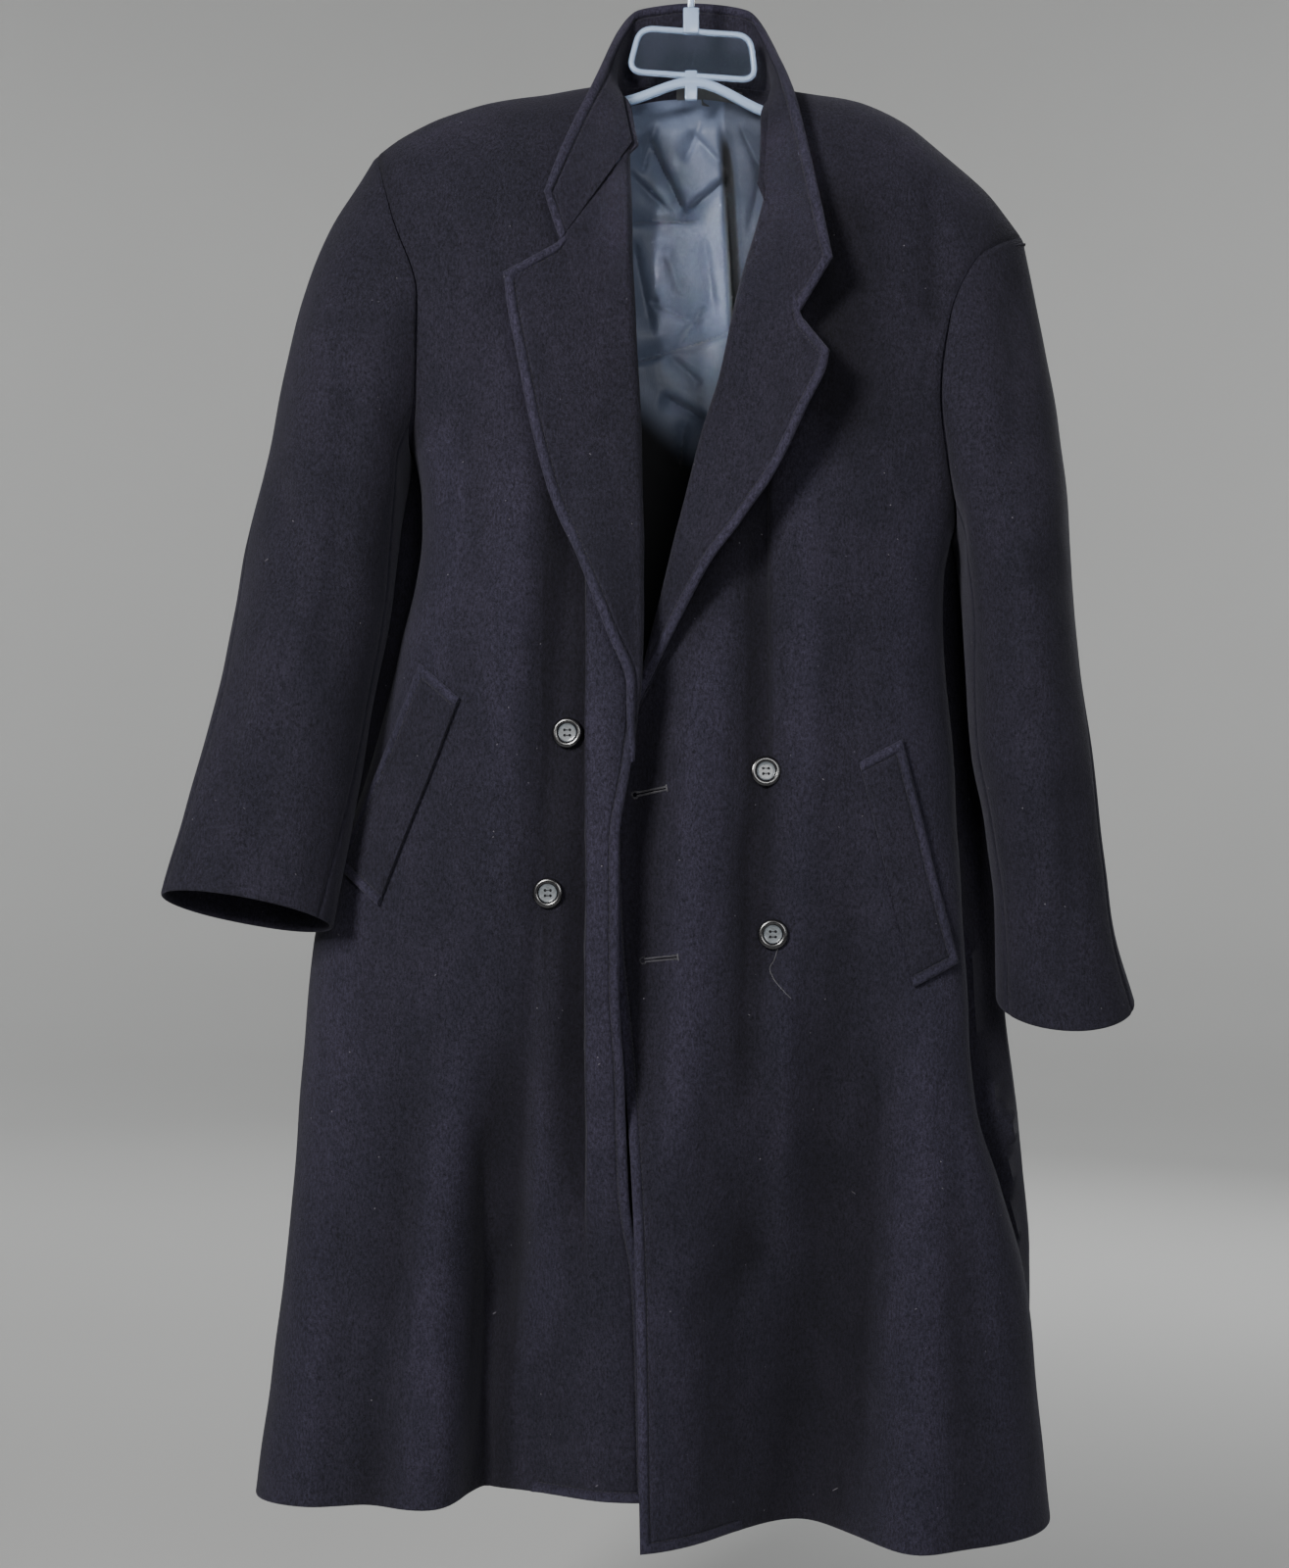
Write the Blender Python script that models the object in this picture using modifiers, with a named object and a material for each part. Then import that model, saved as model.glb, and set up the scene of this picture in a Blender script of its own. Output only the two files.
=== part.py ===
"""Double-breasted wool overcoat, unbuttoned, hanging on a clear moulded hanger.

Metres, +Z up, the coat's front towards -Y. The origin is where the hook bears on its rail.
Right and left are the wearer's, so the right half lies towards -X.
Every cloth piece is a wall between an outer sheet, worked out from the tables below, and an
inner sheet one cloth thickness behind it. Neighbouring pieces keep the seam gap between them.
"""

import math
from collections import namedtuple

import bmesh
import bpy
import numpy as np
from mathutils import Matrix, Vector

# Cloth thicknesses and seams
WOOL = 0.003
DOUBLED = 0.005
WELT = 0.004
LINING = 0.001
SEAM = 0.0003
NORMAL_PASSES = 2

# Grid of the main panels: the fronts and backs share their rows at the side seam
ARMHOLE_ROWS = 10
SKIRT_ROWS = 13
FRONT_COLUMNS = 18
BACK_COLUMNS = 12
SLEEVE_ROWS = 13
LAPEL_ROWS = 13
LAPEL_COLUMNS = 7
COLLAR_STATIONS = 26
COLLAR_ROWS = 5

# How the shoulder rounds over: depth grows with the drop below the shoulder line
SHOULDER_ROUND = 0.045
SHOULDER_POWER = 0.75

# Plan of the body: where each half is flattest
FRONT_CENTRE_X = -0.020
BACK_CENTRE_X = 0.000

# Back neck
NECK_BACK_Y = 0.044
NECK_BACK_Z = -0.126

Shoulder = namedtuple("Shoulder", "x z")
Edge = namedtuple("Edge", "z x")
Side = namedtuple("Side", "z x y bulge power")
Depth = namedtuple("Depth", "z right left back")
Fold = namedtuple("Fold", "top_z top_x low_z low_x top_depth low_depth inner outer fade")
Ring = namedtuple("Ring", "outer_x outer_z inner_x inner_z mid_y half_depth twist pitch")
Leaf = namedtuple("Leaf", "roll_x roll_z edge_x edge_z lift")
Station = namedtuple("Station", "base_x base_y base_z edge_x edge_y edge_z")
Half = namedtuple(
    "Half",
    "name sign shoulder armhole_front armhole_back side edge folds rings leaves gorge_sag hem_edge_z hem_side_z",
)

# Depth of the flat of each front, and of the back, down the coat
DEPTHS = [
    Depth(-0.140, -0.066, -0.066, 0.056),
    Depth(-0.330, -0.074, -0.076, 0.074),
    Depth(-0.450, -0.082, -0.083, 0.080),
    Depth(-0.600, -0.095, -0.085, 0.082),
    Depth(-0.800, -0.098, -0.090, 0.082),
    Depth(-1.000, -0.092, -0.100, 0.085),
    Depth(-1.300, -0.086, -0.120, 0.090),
]

RIGHT_SHOULDER = [
    Shoulder(-0.070, -0.138),
    Shoulder(-0.124, -0.146),
    Shoulder(-0.164, -0.153),
    Shoulder(-0.204, -0.165),
    Shoulder(-0.236, -0.182),
    Shoulder(-0.256, -0.196),
]
LEFT_SHOULDER = [
    Shoulder(0.074, -0.141),
    Shoulder(0.132, -0.150),
    Shoulder(0.172, -0.168),
    Shoulder(0.204, -0.192),
    Shoulder(0.240, -0.224),
    Shoulder(0.270, -0.262),
]

# Armhole edges, from the shoulder point to the armpit
RIGHT_ARMHOLE_FRONT = [
    Edge(-0.196, -0.256),
    Edge(-0.256, -0.239),
    Edge(-0.322, -0.218),
    Edge(-0.399, -0.220),
    Edge(-0.441, -0.226),
]
RIGHT_ARMHOLE_BACK = [
    Edge(-0.196, -0.256),
    Edge(-0.260, -0.243),
    Edge(-0.340, -0.235),
    Edge(-0.400, -0.232),
    Edge(-0.441, -0.226),
]
LEFT_ARMHOLE_FRONT = [
    Edge(-0.262, 0.270),
    Edge(-0.290, 0.226),
    Edge(-0.339, 0.203),
    Edge(-0.400, 0.195),
    Edge(-0.449, 0.201),
    Edge(-0.505, 0.212),
]
LEFT_ARMHOLE_BACK = [
    Edge(-0.262, 0.270),
    Edge(-0.325, 0.242),
    Edge(-0.400, 0.228),
    Edge(-0.465, 0.221),
    Edge(-0.505, 0.212),
]

# Sides of the body. Above the armpit they only set how flat the chest is.
# The bulge is how far the back swings out past the side seam.
RIGHT_SIDE = [
    Side(-0.138, -0.305, 0.000, 0.000, 3.2),
    Side(-0.260, -0.286, 0.002, 0.000, 3.2),
    Side(-0.322, -0.269, 0.004, 0.000, 3.3),
    Side(-0.360, -0.257, 0.006, 0.000, 3.4),
    Side(-0.399, -0.243, 0.008, 0.000, 3.4),
    Side(-0.441, -0.226, 0.008, 0.000, 3.4),
    Side(-0.475, -0.2195, 0.009, 0.010, 3.4),
    Side(-0.505, -0.2185, 0.010, 0.026, 3.4),
    Side(-0.550, -0.224, 0.011, 0.036, 3.3),
    Side(-0.600, -0.237, 0.012, 0.032, 3.2),
    Side(-0.660, -0.252, 0.014, 0.022, 3.0),
    Side(-0.720, -0.270, 0.016, 0.010, 2.8),
    Side(-0.780, -0.292, 0.016, 0.000, 2.8),
    Side(-0.836, -0.308, 0.014, 0.000, 2.7),
    Side(-1.028, -0.324, 0.010, 0.000, 2.6),
    Side(-1.156, -0.338, 0.008, 0.000, 2.8),
    Side(-1.284, -0.355, 0.005, 0.000, 2.8),
]
LEFT_SIDE = [
    Side(-0.141, 0.305, 0.000, 0.000, 3.2),
    Side(-0.262, 0.290, 0.002, 0.000, 3.2),
    Side(-0.325, 0.276, 0.003, 0.000, 3.2),
    Side(-0.372, 0.262, 0.004, 0.000, 3.3),
    Side(-0.415, 0.247, 0.005, 0.000, 3.4),
    Side(-0.460, 0.2295, 0.006, 0.000, 3.4),
    Side(-0.505, 0.212, 0.005, 0.000, 3.4),
    Side(-0.540, 0.2055, 0.010, 0.014, 3.4),
    Side(-0.575, 0.2045, 0.018, 0.024, 3.4),
    Side(-0.620, 0.207, 0.020, 0.028, 3.4),
    Side(-0.700, 0.213, 0.010, 0.032, 3.5),
    Side(-0.850, 0.218, -0.022, 0.038, 4.0),
    Side(-0.957, 0.225, -0.028, 0.041, 4.0),
    Side(-1.030, 0.248, -0.010, 0.030, 3.8),
    Side(-1.104, 0.270, 0.010, 0.020, 3.4),
    Side(-1.200, 0.282, 0.018, 0.009, 3.0),
    Side(-1.304, 0.293, 0.020, 0.005, 2.8),
]

# Inner edge of each front: neckline, roll line of the lapel, then the front edge to the hem
RIGHT_EDGE = [
    Edge(-0.138, -0.070),
    Edge(-0.165, -0.060),
    Edge(-0.205, -0.049),
    Edge(-0.286, -0.047),
    Edge(-0.401, -0.042),
    Edge(-0.524, -0.038),
    Edge(-0.623, -0.040),
    Edge(-0.685, -0.047),
    Edge(-0.754, -0.057),
    Edge(-0.860, -0.057),
    Edge(-0.935, -0.053),
    Edge(-1.087, -0.052),
    Edge(-1.270, -0.051),
]
LEFT_EDGE = [
    Edge(-0.141, 0.074),
    Edge(-0.175, 0.066),
    Edge(-0.237, 0.057),
    Edge(-0.322, 0.035),
    Edge(-0.439, 0.006),
    Edge(-0.562, -0.025),
    Edge(-0.623, -0.041),
    Edge(-0.680, -0.060),
    Edge(-0.746, -0.065),
    Edge(-0.823, -0.063),
    Edge(-0.907, -0.056),
    Edge(-1.000, -0.048),
    Edge(-1.091, -0.044),
    Edge(-1.300, -0.040),
]
BACK_SEAM = [Edge(NECK_BACK_Z, 0.002), Edge(-0.600, -0.010), Edge(-1.290, -0.030)]

# Folds: a trough sinks into the coat, a ridge (negative depth) stands out of it
RIGHT_FOLDS = [
    Fold(-0.480, -0.098, -1.150, -0.152, 0.012, 0.026, 0.016, 0.042, 0.120),
    Fold(-0.900, -0.146, -1.330, -0.165, 0.004, 0.062, 0.075, 0.022, 0.100),
    Fold(-1.000, -0.235, -1.330, -0.262, 0.004, 0.018, 0.026, 0.026, 0.100),
    Fold(-0.560, -0.062, -0.980, -0.066, -0.006, -0.008, 0.016, 0.020, 0.100),
]
LEFT_FOLDS = [
    Fold(-0.560, -0.036, -0.960, -0.048, 0.016, 0.016, 0.040, 0.034, 0.070),
    Fold(-0.640, 0.006, -1.000, -0.014, -0.010, -0.010, 0.020, 0.020, 0.100),
    Fold(-0.400, 0.052, -0.860, 0.058, 0.010, 0.010, 0.018, 0.026, 0.100),
    Fold(-0.760, 0.124, -1.350, 0.080, 0.006, 0.104, 0.075, 0.055, 0.100),
    Fold(-1.040, 0.168, -1.350, 0.172, -0.004, -0.010, 0.030, 0.030, 0.100),
]
BACK_FOLDS = [
    Fold(-0.520, -0.150, -1.330, -0.190, 0.003, 0.026, 0.040, 0.034, 0.120),
    Fold(-0.640, -0.050, -1.330, -0.060, -0.003, -0.012, 0.040, 0.040, 0.120),
    Fold(-0.560, 0.110, -1.330, 0.120, 0.003, 0.028, 0.036, 0.040, 0.120),
    Fold(-0.860, 0.190, -1.330, 0.215, -0.002, -0.010, 0.024, 0.024, 0.120),
]

# Sleeve rings: where the outer and the inner edge hang, and how deep and turned the ring is
RIGHT_RINGS = [
    Ring(-0.256, -0.196, -0.226, -0.441, 0.002, 0.066, 0, 0.00),
    Ring(-0.295, -0.260, -0.231, -0.462, 0.000, 0.078, 0, 0.00),
    Ring(-0.318, -0.324, -0.234, -0.487, -0.004, 0.083, 4, 0.00),
    Ring(-0.332, -0.388, -0.237, -0.518, -0.010, 0.084, 8, 0.00),
    Ring(-0.343, -0.452, -0.241, -0.552, -0.018, 0.083, 11, 0.00),
    Ring(-0.356, -0.516, -0.246, -0.593, -0.028, 0.080, 13, 0.00),
    Ring(-0.366, -0.580, -0.254, -0.641, -0.040, 0.074, 14, 0.02),
    Ring(-0.3805, -0.660, -0.263, -0.705, -0.056, 0.063, 12, 0.08),
    Ring(-0.399, -0.739, -0.272, -0.766, -0.076, 0.049, 6, 0.20),
    Ring(-0.414, -0.796, -0.280, -0.819, -0.088, 0.036, 0, 0.40),
]
LEFT_RINGS = [
    Ring(0.270, -0.262, 0.212, -0.505, 0.002, 0.066, 0, 0.00),
    Ring(0.281, -0.316, 0.217, -0.525, 0.000, 0.078, 0, 0.00),
    Ring(0.288, -0.360, 0.219, -0.550, -0.003, 0.084, 3, 0.00),
    Ring(0.297, -0.420, 0.221, -0.580, -0.008, 0.087, 5, 0.00),
    Ring(0.304, -0.484, 0.222, -0.612, -0.014, 0.087, 7, 0.00),
    Ring(0.3065, -0.548, 0.223, -0.643, -0.020, 0.084, 9, 0.00),
    Ring(0.311, -0.612, 0.226, -0.687, -0.027, 0.078, 10, 0.00),
    Ring(0.320, -0.688, 0.235, -0.745, -0.034, 0.070, 9, -0.04),
    Ring(0.3275, -0.763, 0.241, -0.803, -0.040, 0.060, 6, -0.12),
    Ring(0.337, -0.833, 0.242, -0.850, -0.044, 0.052, 4, -0.25),
    Ring(0.351, -0.880, 0.242, -0.882, -0.046, 0.046, 2, -0.42),
]
# Seams of the two-piece sleeve, as angles round the ring from its outer edge towards the front
# The top ends fall on the armhole's own points, which are ARMHOLE_ROWS steps from 0 to 180 degrees.
ELBOW_SEAM_STEP, ELBOW_SEAM_CUFF = -1, 22.0
FOREARM_SEAM_STEP, FOREARM_SEAM_CUFF = 8, 152.0
HEAD_ROWS = 4.0

# Lapels: the roll line, the outer edge and how far the edge stands off the front
RIGHT_LEAVES = [
    Leaf(-0.049, -0.205, -0.147, -0.311, 0.020),
    Leaf(-0.047, -0.286, -0.144, -0.336, 0.020),
    Leaf(-0.045, -0.347, -0.136, -0.377, 0.020),
    Leaf(-0.042, -0.401, -0.126, -0.427, 0.020),
    Leaf(-0.040, -0.462, -0.112, -0.480, 0.018),
    Leaf(-0.038, -0.524, -0.089, -0.537, 0.014),
    Leaf(-0.038, -0.570, -0.068, -0.586, 0.009),
    Leaf(-0.040, -0.623, -0.050, -0.632, 0.003),
]
LEFT_LEAVES = [
    Leaf(0.057, -0.237, 0.101, -0.376, 0.040),
    Leaf(0.047, -0.275, 0.098, -0.391, 0.042),
    Leaf(0.035, -0.322, 0.083, -0.422, 0.042),
    Leaf(0.021, -0.385, 0.062, -0.464, 0.038),
    Leaf(0.005, -0.439, 0.037, -0.503, 0.030),
    Leaf(-0.011, -0.500, 0.011, -0.537, 0.020),
    Leaf(-0.026, -0.562, -0.010, -0.575, 0.010),
    Leaf(-0.042, -0.626, -0.036, -0.628, 0.003),
]
LAPEL_CLEAR = 0.0060
NOTCH_AT = 4 / 7
GORGE_ROWS, GORGE_GAP = 2.0, 0.0018

# Collar, turned up: its seam and its outer edge, from the right end round the neck to the left
COLLAR = [
    Station(-0.104, -0.087, -0.2830, -0.117, -0.089, -0.247),
    Station(-0.078, -0.076, -0.2450, -0.106, -0.083, -0.216),
    Station(-0.052, -0.064, -0.2020, -0.094, -0.071, -0.187),
    Station(-0.057, -0.047, -0.1660, -0.081, -0.054, -0.155),
    Station(-0.067, 0.004, -0.1340, -0.059, 0.018, -0.085),
    Station(-0.047, 0.034, -0.1270, -0.048, 0.042, -0.065),
    Station(0.002, 0.0455, -0.1235, 0.001, 0.050, -0.055),
    Station(0.050, 0.036, -0.1280, 0.050, 0.042, -0.064),
    Station(0.071, 0.004, -0.1370, 0.067, 0.016, -0.096),
    Station(0.062, -0.050, -0.1770, 0.083, -0.055, -0.164),
    Station(0.060, -0.068, -0.2360, 0.094, -0.082, -0.225),
    Station(0.070, -0.092, -0.2900, 0.102, -0.102, -0.272),
    Station(0.083, -0.107, -0.3450, 0.107, -0.116, -0.304),
]

RIGHT = Half(
    "right", -1, RIGHT_SHOULDER, RIGHT_ARMHOLE_FRONT, RIGHT_ARMHOLE_BACK, RIGHT_SIDE,
    RIGHT_EDGE, RIGHT_FOLDS, RIGHT_RINGS, RIGHT_LEAVES, 0.020, -1.270, -1.284,
)
LEFT = Half(
    "left", 1, LEFT_SHOULDER, LEFT_ARMHOLE_FRONT, LEFT_ARMHOLE_BACK, LEFT_SIDE,
    LEFT_EDGE, LEFT_FOLDS, LEFT_RINGS, LEFT_LEAVES, 0.030, -1.300, -1.304,
)
BACK_HEM_Z = -1.290
SWING_REACH = 4.0

# Pocket welts: corners on the front, from the top of the opening edge round to its foot
Welt = namedtuple("Welt", "open_top_x open_top_z sewn_top_x sewn_top_z slant_x slant_z")
RIGHT_WELT = Welt(-0.213, -0.613, -0.181, -0.641, -0.065, -0.163)
LEFT_WELT = Welt(0.163, -0.673, 0.130, -0.691, 0.043, -0.176)
WELT_CLEAR = 0.0024
WELT_ROWS, WELT_COLUMNS = 12, 6

# Buttons: places on the fronts, and their turned section
Place = namedtuple("Place", "name half x z")
BUTTONS = [
    Place("right_upper_button", RIGHT, -0.098, -0.668),
    Place("right_lower_button", RIGHT, -0.113, -0.793),
    Place("left_upper_button", LEFT, 0.057, -0.698),
    Place("left_lower_button", LEFT, 0.063, -0.826),
]
BUTTON_RADIUS = 0.0120
BUTTON_THICK = 0.0042
BUTTON_RIM = 0.0022
BUTTON_DISH = 0.0012
BUTTON_HOLE = 0.0011
BUTTON_HOLE_SPREAD = 0.0021
BUTTON_CLEAR = 0.0016
BUTTON_STEPS = 16

# Inside of the neck: facing, label and hanging loop
FACING, FACING_CLEAR, FACING_COLUMNS, FACING_FOOT = 0.0012, 0.0006, 4, 1.5
LINING_CLEAR, LINING_HEM_RISE, LINING_FIRST_ROW, LINING_SIDE = 0.0045, 0.030, 2, 3
LABEL_SPAN, LABEL_TOP, LABEL_FOOT = (-0.012, 0.046), 0.003, 0.013
LABEL_THICK, LABEL_CLEAR = 0.0008, 0.0085
LOOP_SPAN, LOOP_TOP, LOOP_SAG, LOOP_RADIUS, LOOP_CLEAR = (0.010, 0.050), 0.014, 0.007, 0.0015, 0.0110

# Hanger
HOOK_WIRE = 0.00275
HOOK_INNER = 0.020
HOOK_FOOT_Z = -0.0745
POST_WIDTH, POST_DEPTH, POST_TOP_Z, POST_LOW_Z = 0.013, 0.008, -0.075, -0.096
FRAME_TOP_WIDTH, FRAME_LOW_WIDTH, FRAME_HEIGHT, FRAME_CORNER = 0.090, 0.104, 0.036, 0.012
FRAME_CENTRE_Z, FRAME_CENTRE_X, FRAME_TILT = -0.112, 0.002, 4.0
FRAME_WIRE, FRAME_PLATE = 0.0026, 0.0014
TAB_WIDTH, TAB_DEPTH, TAB_TOP_Z, TAB_LOW_Z = 0.010, 0.006, -0.126, -0.150
BOW_WIRE = 0.0042
BOW = [
    Shoulder(-0.240, -0.198),
    Shoulder(-0.190, -0.178),
    Shoulder(-0.124, -0.165),
    Shoulder(-0.050, -0.150),
    Shoulder(0.001, -0.135),
    Shoulder(0.062, -0.160),
    Shoulder(0.132, -0.178),
    Shoulder(0.190, -0.202),
    Shoulder(0.248, -0.253),
]
BOW_POINTS = 27

COLOURS = {
    "wool": ((0.012, 0.012, 0.018), 0.9, 0.0),
    "lining": ((0.075, 0.088, 0.11), 0.45, 0.0),
    "button": ((0.06, 0.07, 0.08), 0.35, 0.0),
    "label": ((0.01, 0.01, 0.012), 0.7, 0.0),
    "clear": ((0.75, 0.80, 0.86), 0.12, 0.0),
}


def smooth(keys, values, at):
    """Values at the keys asked for, on a smooth curve through the table that never overshoots it."""
    order = np.argsort(keys)
    keys, values = np.asarray(keys, float)[order], np.asarray(values, float)[order]
    step = np.diff(keys)
    rise = np.diff(values) / step
    slope = np.concatenate([rise[:1], np.zeros(len(keys) - 2), rise[-1:]])
    turning = rise[:-1] * rise[1:] > 0
    slope[1:-1][turning] = 2 / (1 / rise[:-1][turning] + 1 / rise[1:][turning])
    at = np.clip(at, keys[0], keys[-1])
    low = np.clip(np.searchsorted(keys, at) - 1, 0, len(step) - 1)
    share = (at - keys[low]) / step[low]
    back = 1 - share
    return (
        values[low] * (1 + 2 * share) * back**2
        + slope[low] * step[low] * share * back**2
        + values[low + 1] * share**2 * (3 - 2 * share)
        - slope[low + 1] * step[low] * share**2 * back
    )


def column(table, key, value, at):
    """A table's value column read at places along its key column."""
    return smooth([getattr(row, key) for row in table], [getattr(row, value) for row in table], at)


def ease(share):
    """0 to 1 with level ends."""
    share = np.clip(share, 0, 1)
    return share * share * (3 - 2 * share)


def unit(vectors):
    return vectors / np.linalg.norm(vectors, axis=-1, keepdims=True)


# The body's surface, as depth over each place in the front view


def fold_depth(folds, x, z):
    """How far the cloth sinks at each place. A fold's inner side is the one towards the coat's middle."""
    total = np.zeros(np.broadcast(x, z).shape)
    for fold in folds:
        along = (fold.top_z - z) / (fold.top_z - fold.low_z)
        centre = fold.top_x + (fold.low_x - fold.top_x) * along
        depth = fold.top_depth + (fold.low_depth - fold.top_depth) * along
        outward = (x - centre) * np.sign(centre)
        width = np.where(outward > 0, fold.outer, fold.inner)
        ends = ease((fold.top_z - z) / fold.fade + 0.5) * ease((z - fold.low_z) / fold.fade + 0.5)
        total = total + depth * ends * np.exp(-((outward / width) ** 2))
    return total


def over_shoulder(drop):
    """Share of the full depth reached at a drop below the shoulder line."""
    return (1 - np.exp(-np.maximum(drop, 0) / SHOULDER_ROUND)) ** SHOULDER_POWER


def round_plan(half, x, z, centre_x, flat_y):
    """Depth of a rounded-off box in plan, and how near to its side each place is."""
    end_x = column(half.side, "z", "x", z)
    side_y = column(half.side, "z", "y", z)
    power = column(half.side, "z", "power", z)
    reach = np.clip((x - centre_x) / (end_x - centre_x), 0, 1)
    return side_y + (flat_y - side_y) * (1 - reach**power) ** (1 / power), reach


def front_y(half, x, z):
    flat = column(DEPTHS, "z", half.name, z)
    y, reach = round_plan(half, x, z, FRONT_CENTRE_X, flat)
    y = y + fold_depth(half.folds, x, z) * (1 - reach**8)
    return y * over_shoulder(column(half.shoulder, "x", "z", x) - z) - SEAM / 2


def neckline(half, x):
    """Depth and height of the top edge of the back: the back neck, then the shoulder seam."""
    neck = half.shoulder[0]
    across = np.clip(x / neck.x, 0, 1)
    top_y = NECK_BACK_Y * np.sqrt(1 - across**2)
    in_neck_z = neck.z + (NECK_BACK_Z - neck.z) * (1 - across**2)
    return top_y, np.where(across < 1, in_neck_z, column(half.shoulder, "x", "z", x))


def back_y(half, x, z):
    flat = column(DEPTHS, "z", "back", z)
    y, reach = round_plan(half, x, z, BACK_CENTRE_X, flat)
    y = y - fold_depth(BACK_FOLDS, x, z) * (1 - reach**8)
    top_y, top_z = neckline(half, x)
    return top_y + (y - top_y) * over_shoulder(top_z - z) + SEAM / 2


# Sheets of points, row by row from the top


def drops(half):
    """Share of the way from the shoulder to the hem of each row: round the armhole, then even."""
    shoulder, armpit = half.shoulder[-1].z, half.armhole_front[-1].z
    armpit_share = (shoulder - armpit) / (shoulder - half.hem_side_z)
    armhole = armpit_share * (1 - np.cos(np.linspace(0, np.pi, ARMHOLE_ROWS + 1))) / 2
    skirt = np.linspace(armpit_share, 1, SKIRT_ROWS + 1)
    return np.concatenate([armhole, skirt[1:]]), armpit_share


def panel_rows(half, top_z, hem_z):
    """Heights over rows and columns: along the shoulder at the top, level from the armpit down."""
    shares, armpit_share = drops(half)
    above = np.clip(1 - shares / armpit_share, 0, 1) ** 2
    below = np.clip((shares - armpit_share) / (1 - armpit_share), 0, 1)
    z = top_z[-1] + (hem_z[-1] - top_z[-1]) * shares[:, None]
    z = z + (top_z - top_z[-1])[None, :] * above[:, None] + (hem_z - hem_z[-1])[None, :] * below[:, None]
    return z, armpit_share, shares


def spread_columns(half, surface, even, turn, inner, outer, z):
    """Places across each row: even at the shoulder, even along the cloth where the side turns."""
    dense = 1 - (1 - np.linspace(0, 1, 241)) ** 2.5
    x = inner + (outer - inner) * dense
    y = surface(half, x, z[:, -1:] + 0 * x)
    run = np.cumsum(np.hypot(np.diff(x, axis=1), np.diff(y, axis=1)), axis=1)
    run = np.concatenate([np.zeros((len(run), 1)), run], axis=1)
    along = np.array([np.interp(even, row / row[-1], dense) for row in run])
    return even + (along - even) * turn[:, None]


def side_x(half, armhole, z):
    """The outer edge of a panel: the armhole, then the side seam."""
    below = [Edge(row.z, row.x) for row in half.side if row.z < armhole[-1].z]
    return column(armhole + below, "z", "x", z)


def front_sheet(half, columns=FRONT_COLUMNS):
    even = np.linspace(0, 1, columns + 1)
    neck, point = half.shoulder[0], half.shoulder[-1]
    top_z = column(half.shoulder, "x", "z", neck.x + (point.x - neck.x) * even)
    hem_z = half.hem_edge_z + (half.hem_side_z - half.hem_edge_z) * even
    z, armpit_share, shares = panel_rows(half, top_z, hem_z)
    inner = column(half.edge, "z", "x", z[:, :1])
    outer = side_x(half, half.armhole_front, z[:, -1:])
    turn = ease(shares / armpit_share)
    x = inner + (outer - inner) * spread_columns(half, front_y, even, turn, inner, outer, z)
    return np.stack([x, front_y(half, x, z), z], axis=-1)


def back_sheet(half, columns=BACK_COLUMNS):
    even = np.linspace(0, 1, columns + 1) ** 1.3
    point = half.shoulder[-1]
    start = BACK_SEAM[0].x
    top_z = neckline(half, start + (point.x - start) * even)[1]
    hem_z = BACK_HEM_Z + (half.hem_side_z - BACK_HEM_Z) * even
    z, armpit_share, shares = panel_rows(half, top_z, hem_z)
    inner = column(BACK_SEAM, "z", "x", z[:, :1]) + half.sign * SEAM / 2
    outer = side_x(half, half.armhole_back, z[:, -1:])
    places = spread_columns(half, back_y, even, ease(shares / armpit_share), inner, outer, z)
    x = inner + (outer - inner) * places
    y = back_y(half, x, z)
    swing = column(half.side, "z", "bulge", z) * np.sin(np.pi * np.clip(SWING_REACH * (1 - even), 0, 1)) ** 2
    return np.stack([x + half.sign * swing, y, z], axis=-1)


def armhole_ring(half, angles):
    """Points of the armhole at angles from the shoulder point, round the front to the armpit and back."""
    top, armpit = half.shoulder[-1].z, half.armhole_front[-1].z
    z = top + (armpit - top) * (1 - np.cos(angles)) / 2
    front_x = side_x(half, half.armhole_front, z)
    back_x = side_x(half, half.armhole_back, z)
    in_front = np.sin(angles) >= 0
    x = np.where(in_front, front_x, back_x)
    y = np.where(in_front, front_y(half, front_x, z), back_y(half, back_x, z))
    return np.stack([x, y, z], axis=-1)


def sleeve_ring(half, place, angles):
    """Plain ring of the sleeve at a place between the table's rows."""
    order = np.arange(len(half.rings), dtype=float)
    at = {name: smooth(order, [getattr(r, name) for r in half.rings], place) for name in Ring._fields}
    middle = np.array([at["outer_x"] + at["inner_x"], 2 * at["mid_y"], at["outer_z"] + at["inner_z"]]) / 2
    along = np.array([at["outer_x"] - at["inner_x"], 0, at["outer_z"] - at["inner_z"]]) / 2
    turn = np.radians(at["twist"]) * -half.sign
    across_x = along[0] * np.cos(angles)
    across_y = -at["half_depth"] * np.sin(angles)
    x = middle[0] + across_x * np.cos(turn) - across_y * np.sin(turn)
    y = middle[1] + across_x * np.sin(turn) + across_y * np.cos(turn)
    z = middle[2] + along[2] * np.cos(angles) - at["pitch"] * (y - middle[1])
    return np.stack([x, y, z], axis=-1)


def sleeve_sheet(half, start, stop, cuff_start, cuff_stop):
    """Sheet of a piece of sleeve between two seams, given as armhole steps at the top and degrees at the cuff."""
    rows = []
    last = len(half.rings) - 1
    top_angles = np.radians(np.arange(start, stop + 1) * 180 / ARMHOLE_ROWS)
    cuff_angles = np.radians(np.linspace(cuff_start, cuff_stop, len(top_angles)))
    for row in np.linspace(0, last, SLEEVE_ROWS + 1):
        angles = top_angles + (cuff_angles - top_angles) * ease(row / last)
        ring = sleeve_ring(half, row, angles)
        to_armhole = armhole_ring(half, top_angles) - sleeve_ring(half, 0.0, top_angles)
        ring = ring + to_armhole * (1 - ease(row / HEAD_ROWS))
        ring[:, 0] += half.sign * SEAM * 1.5
        rows.append(ring)
    return np.array(rows)


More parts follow.
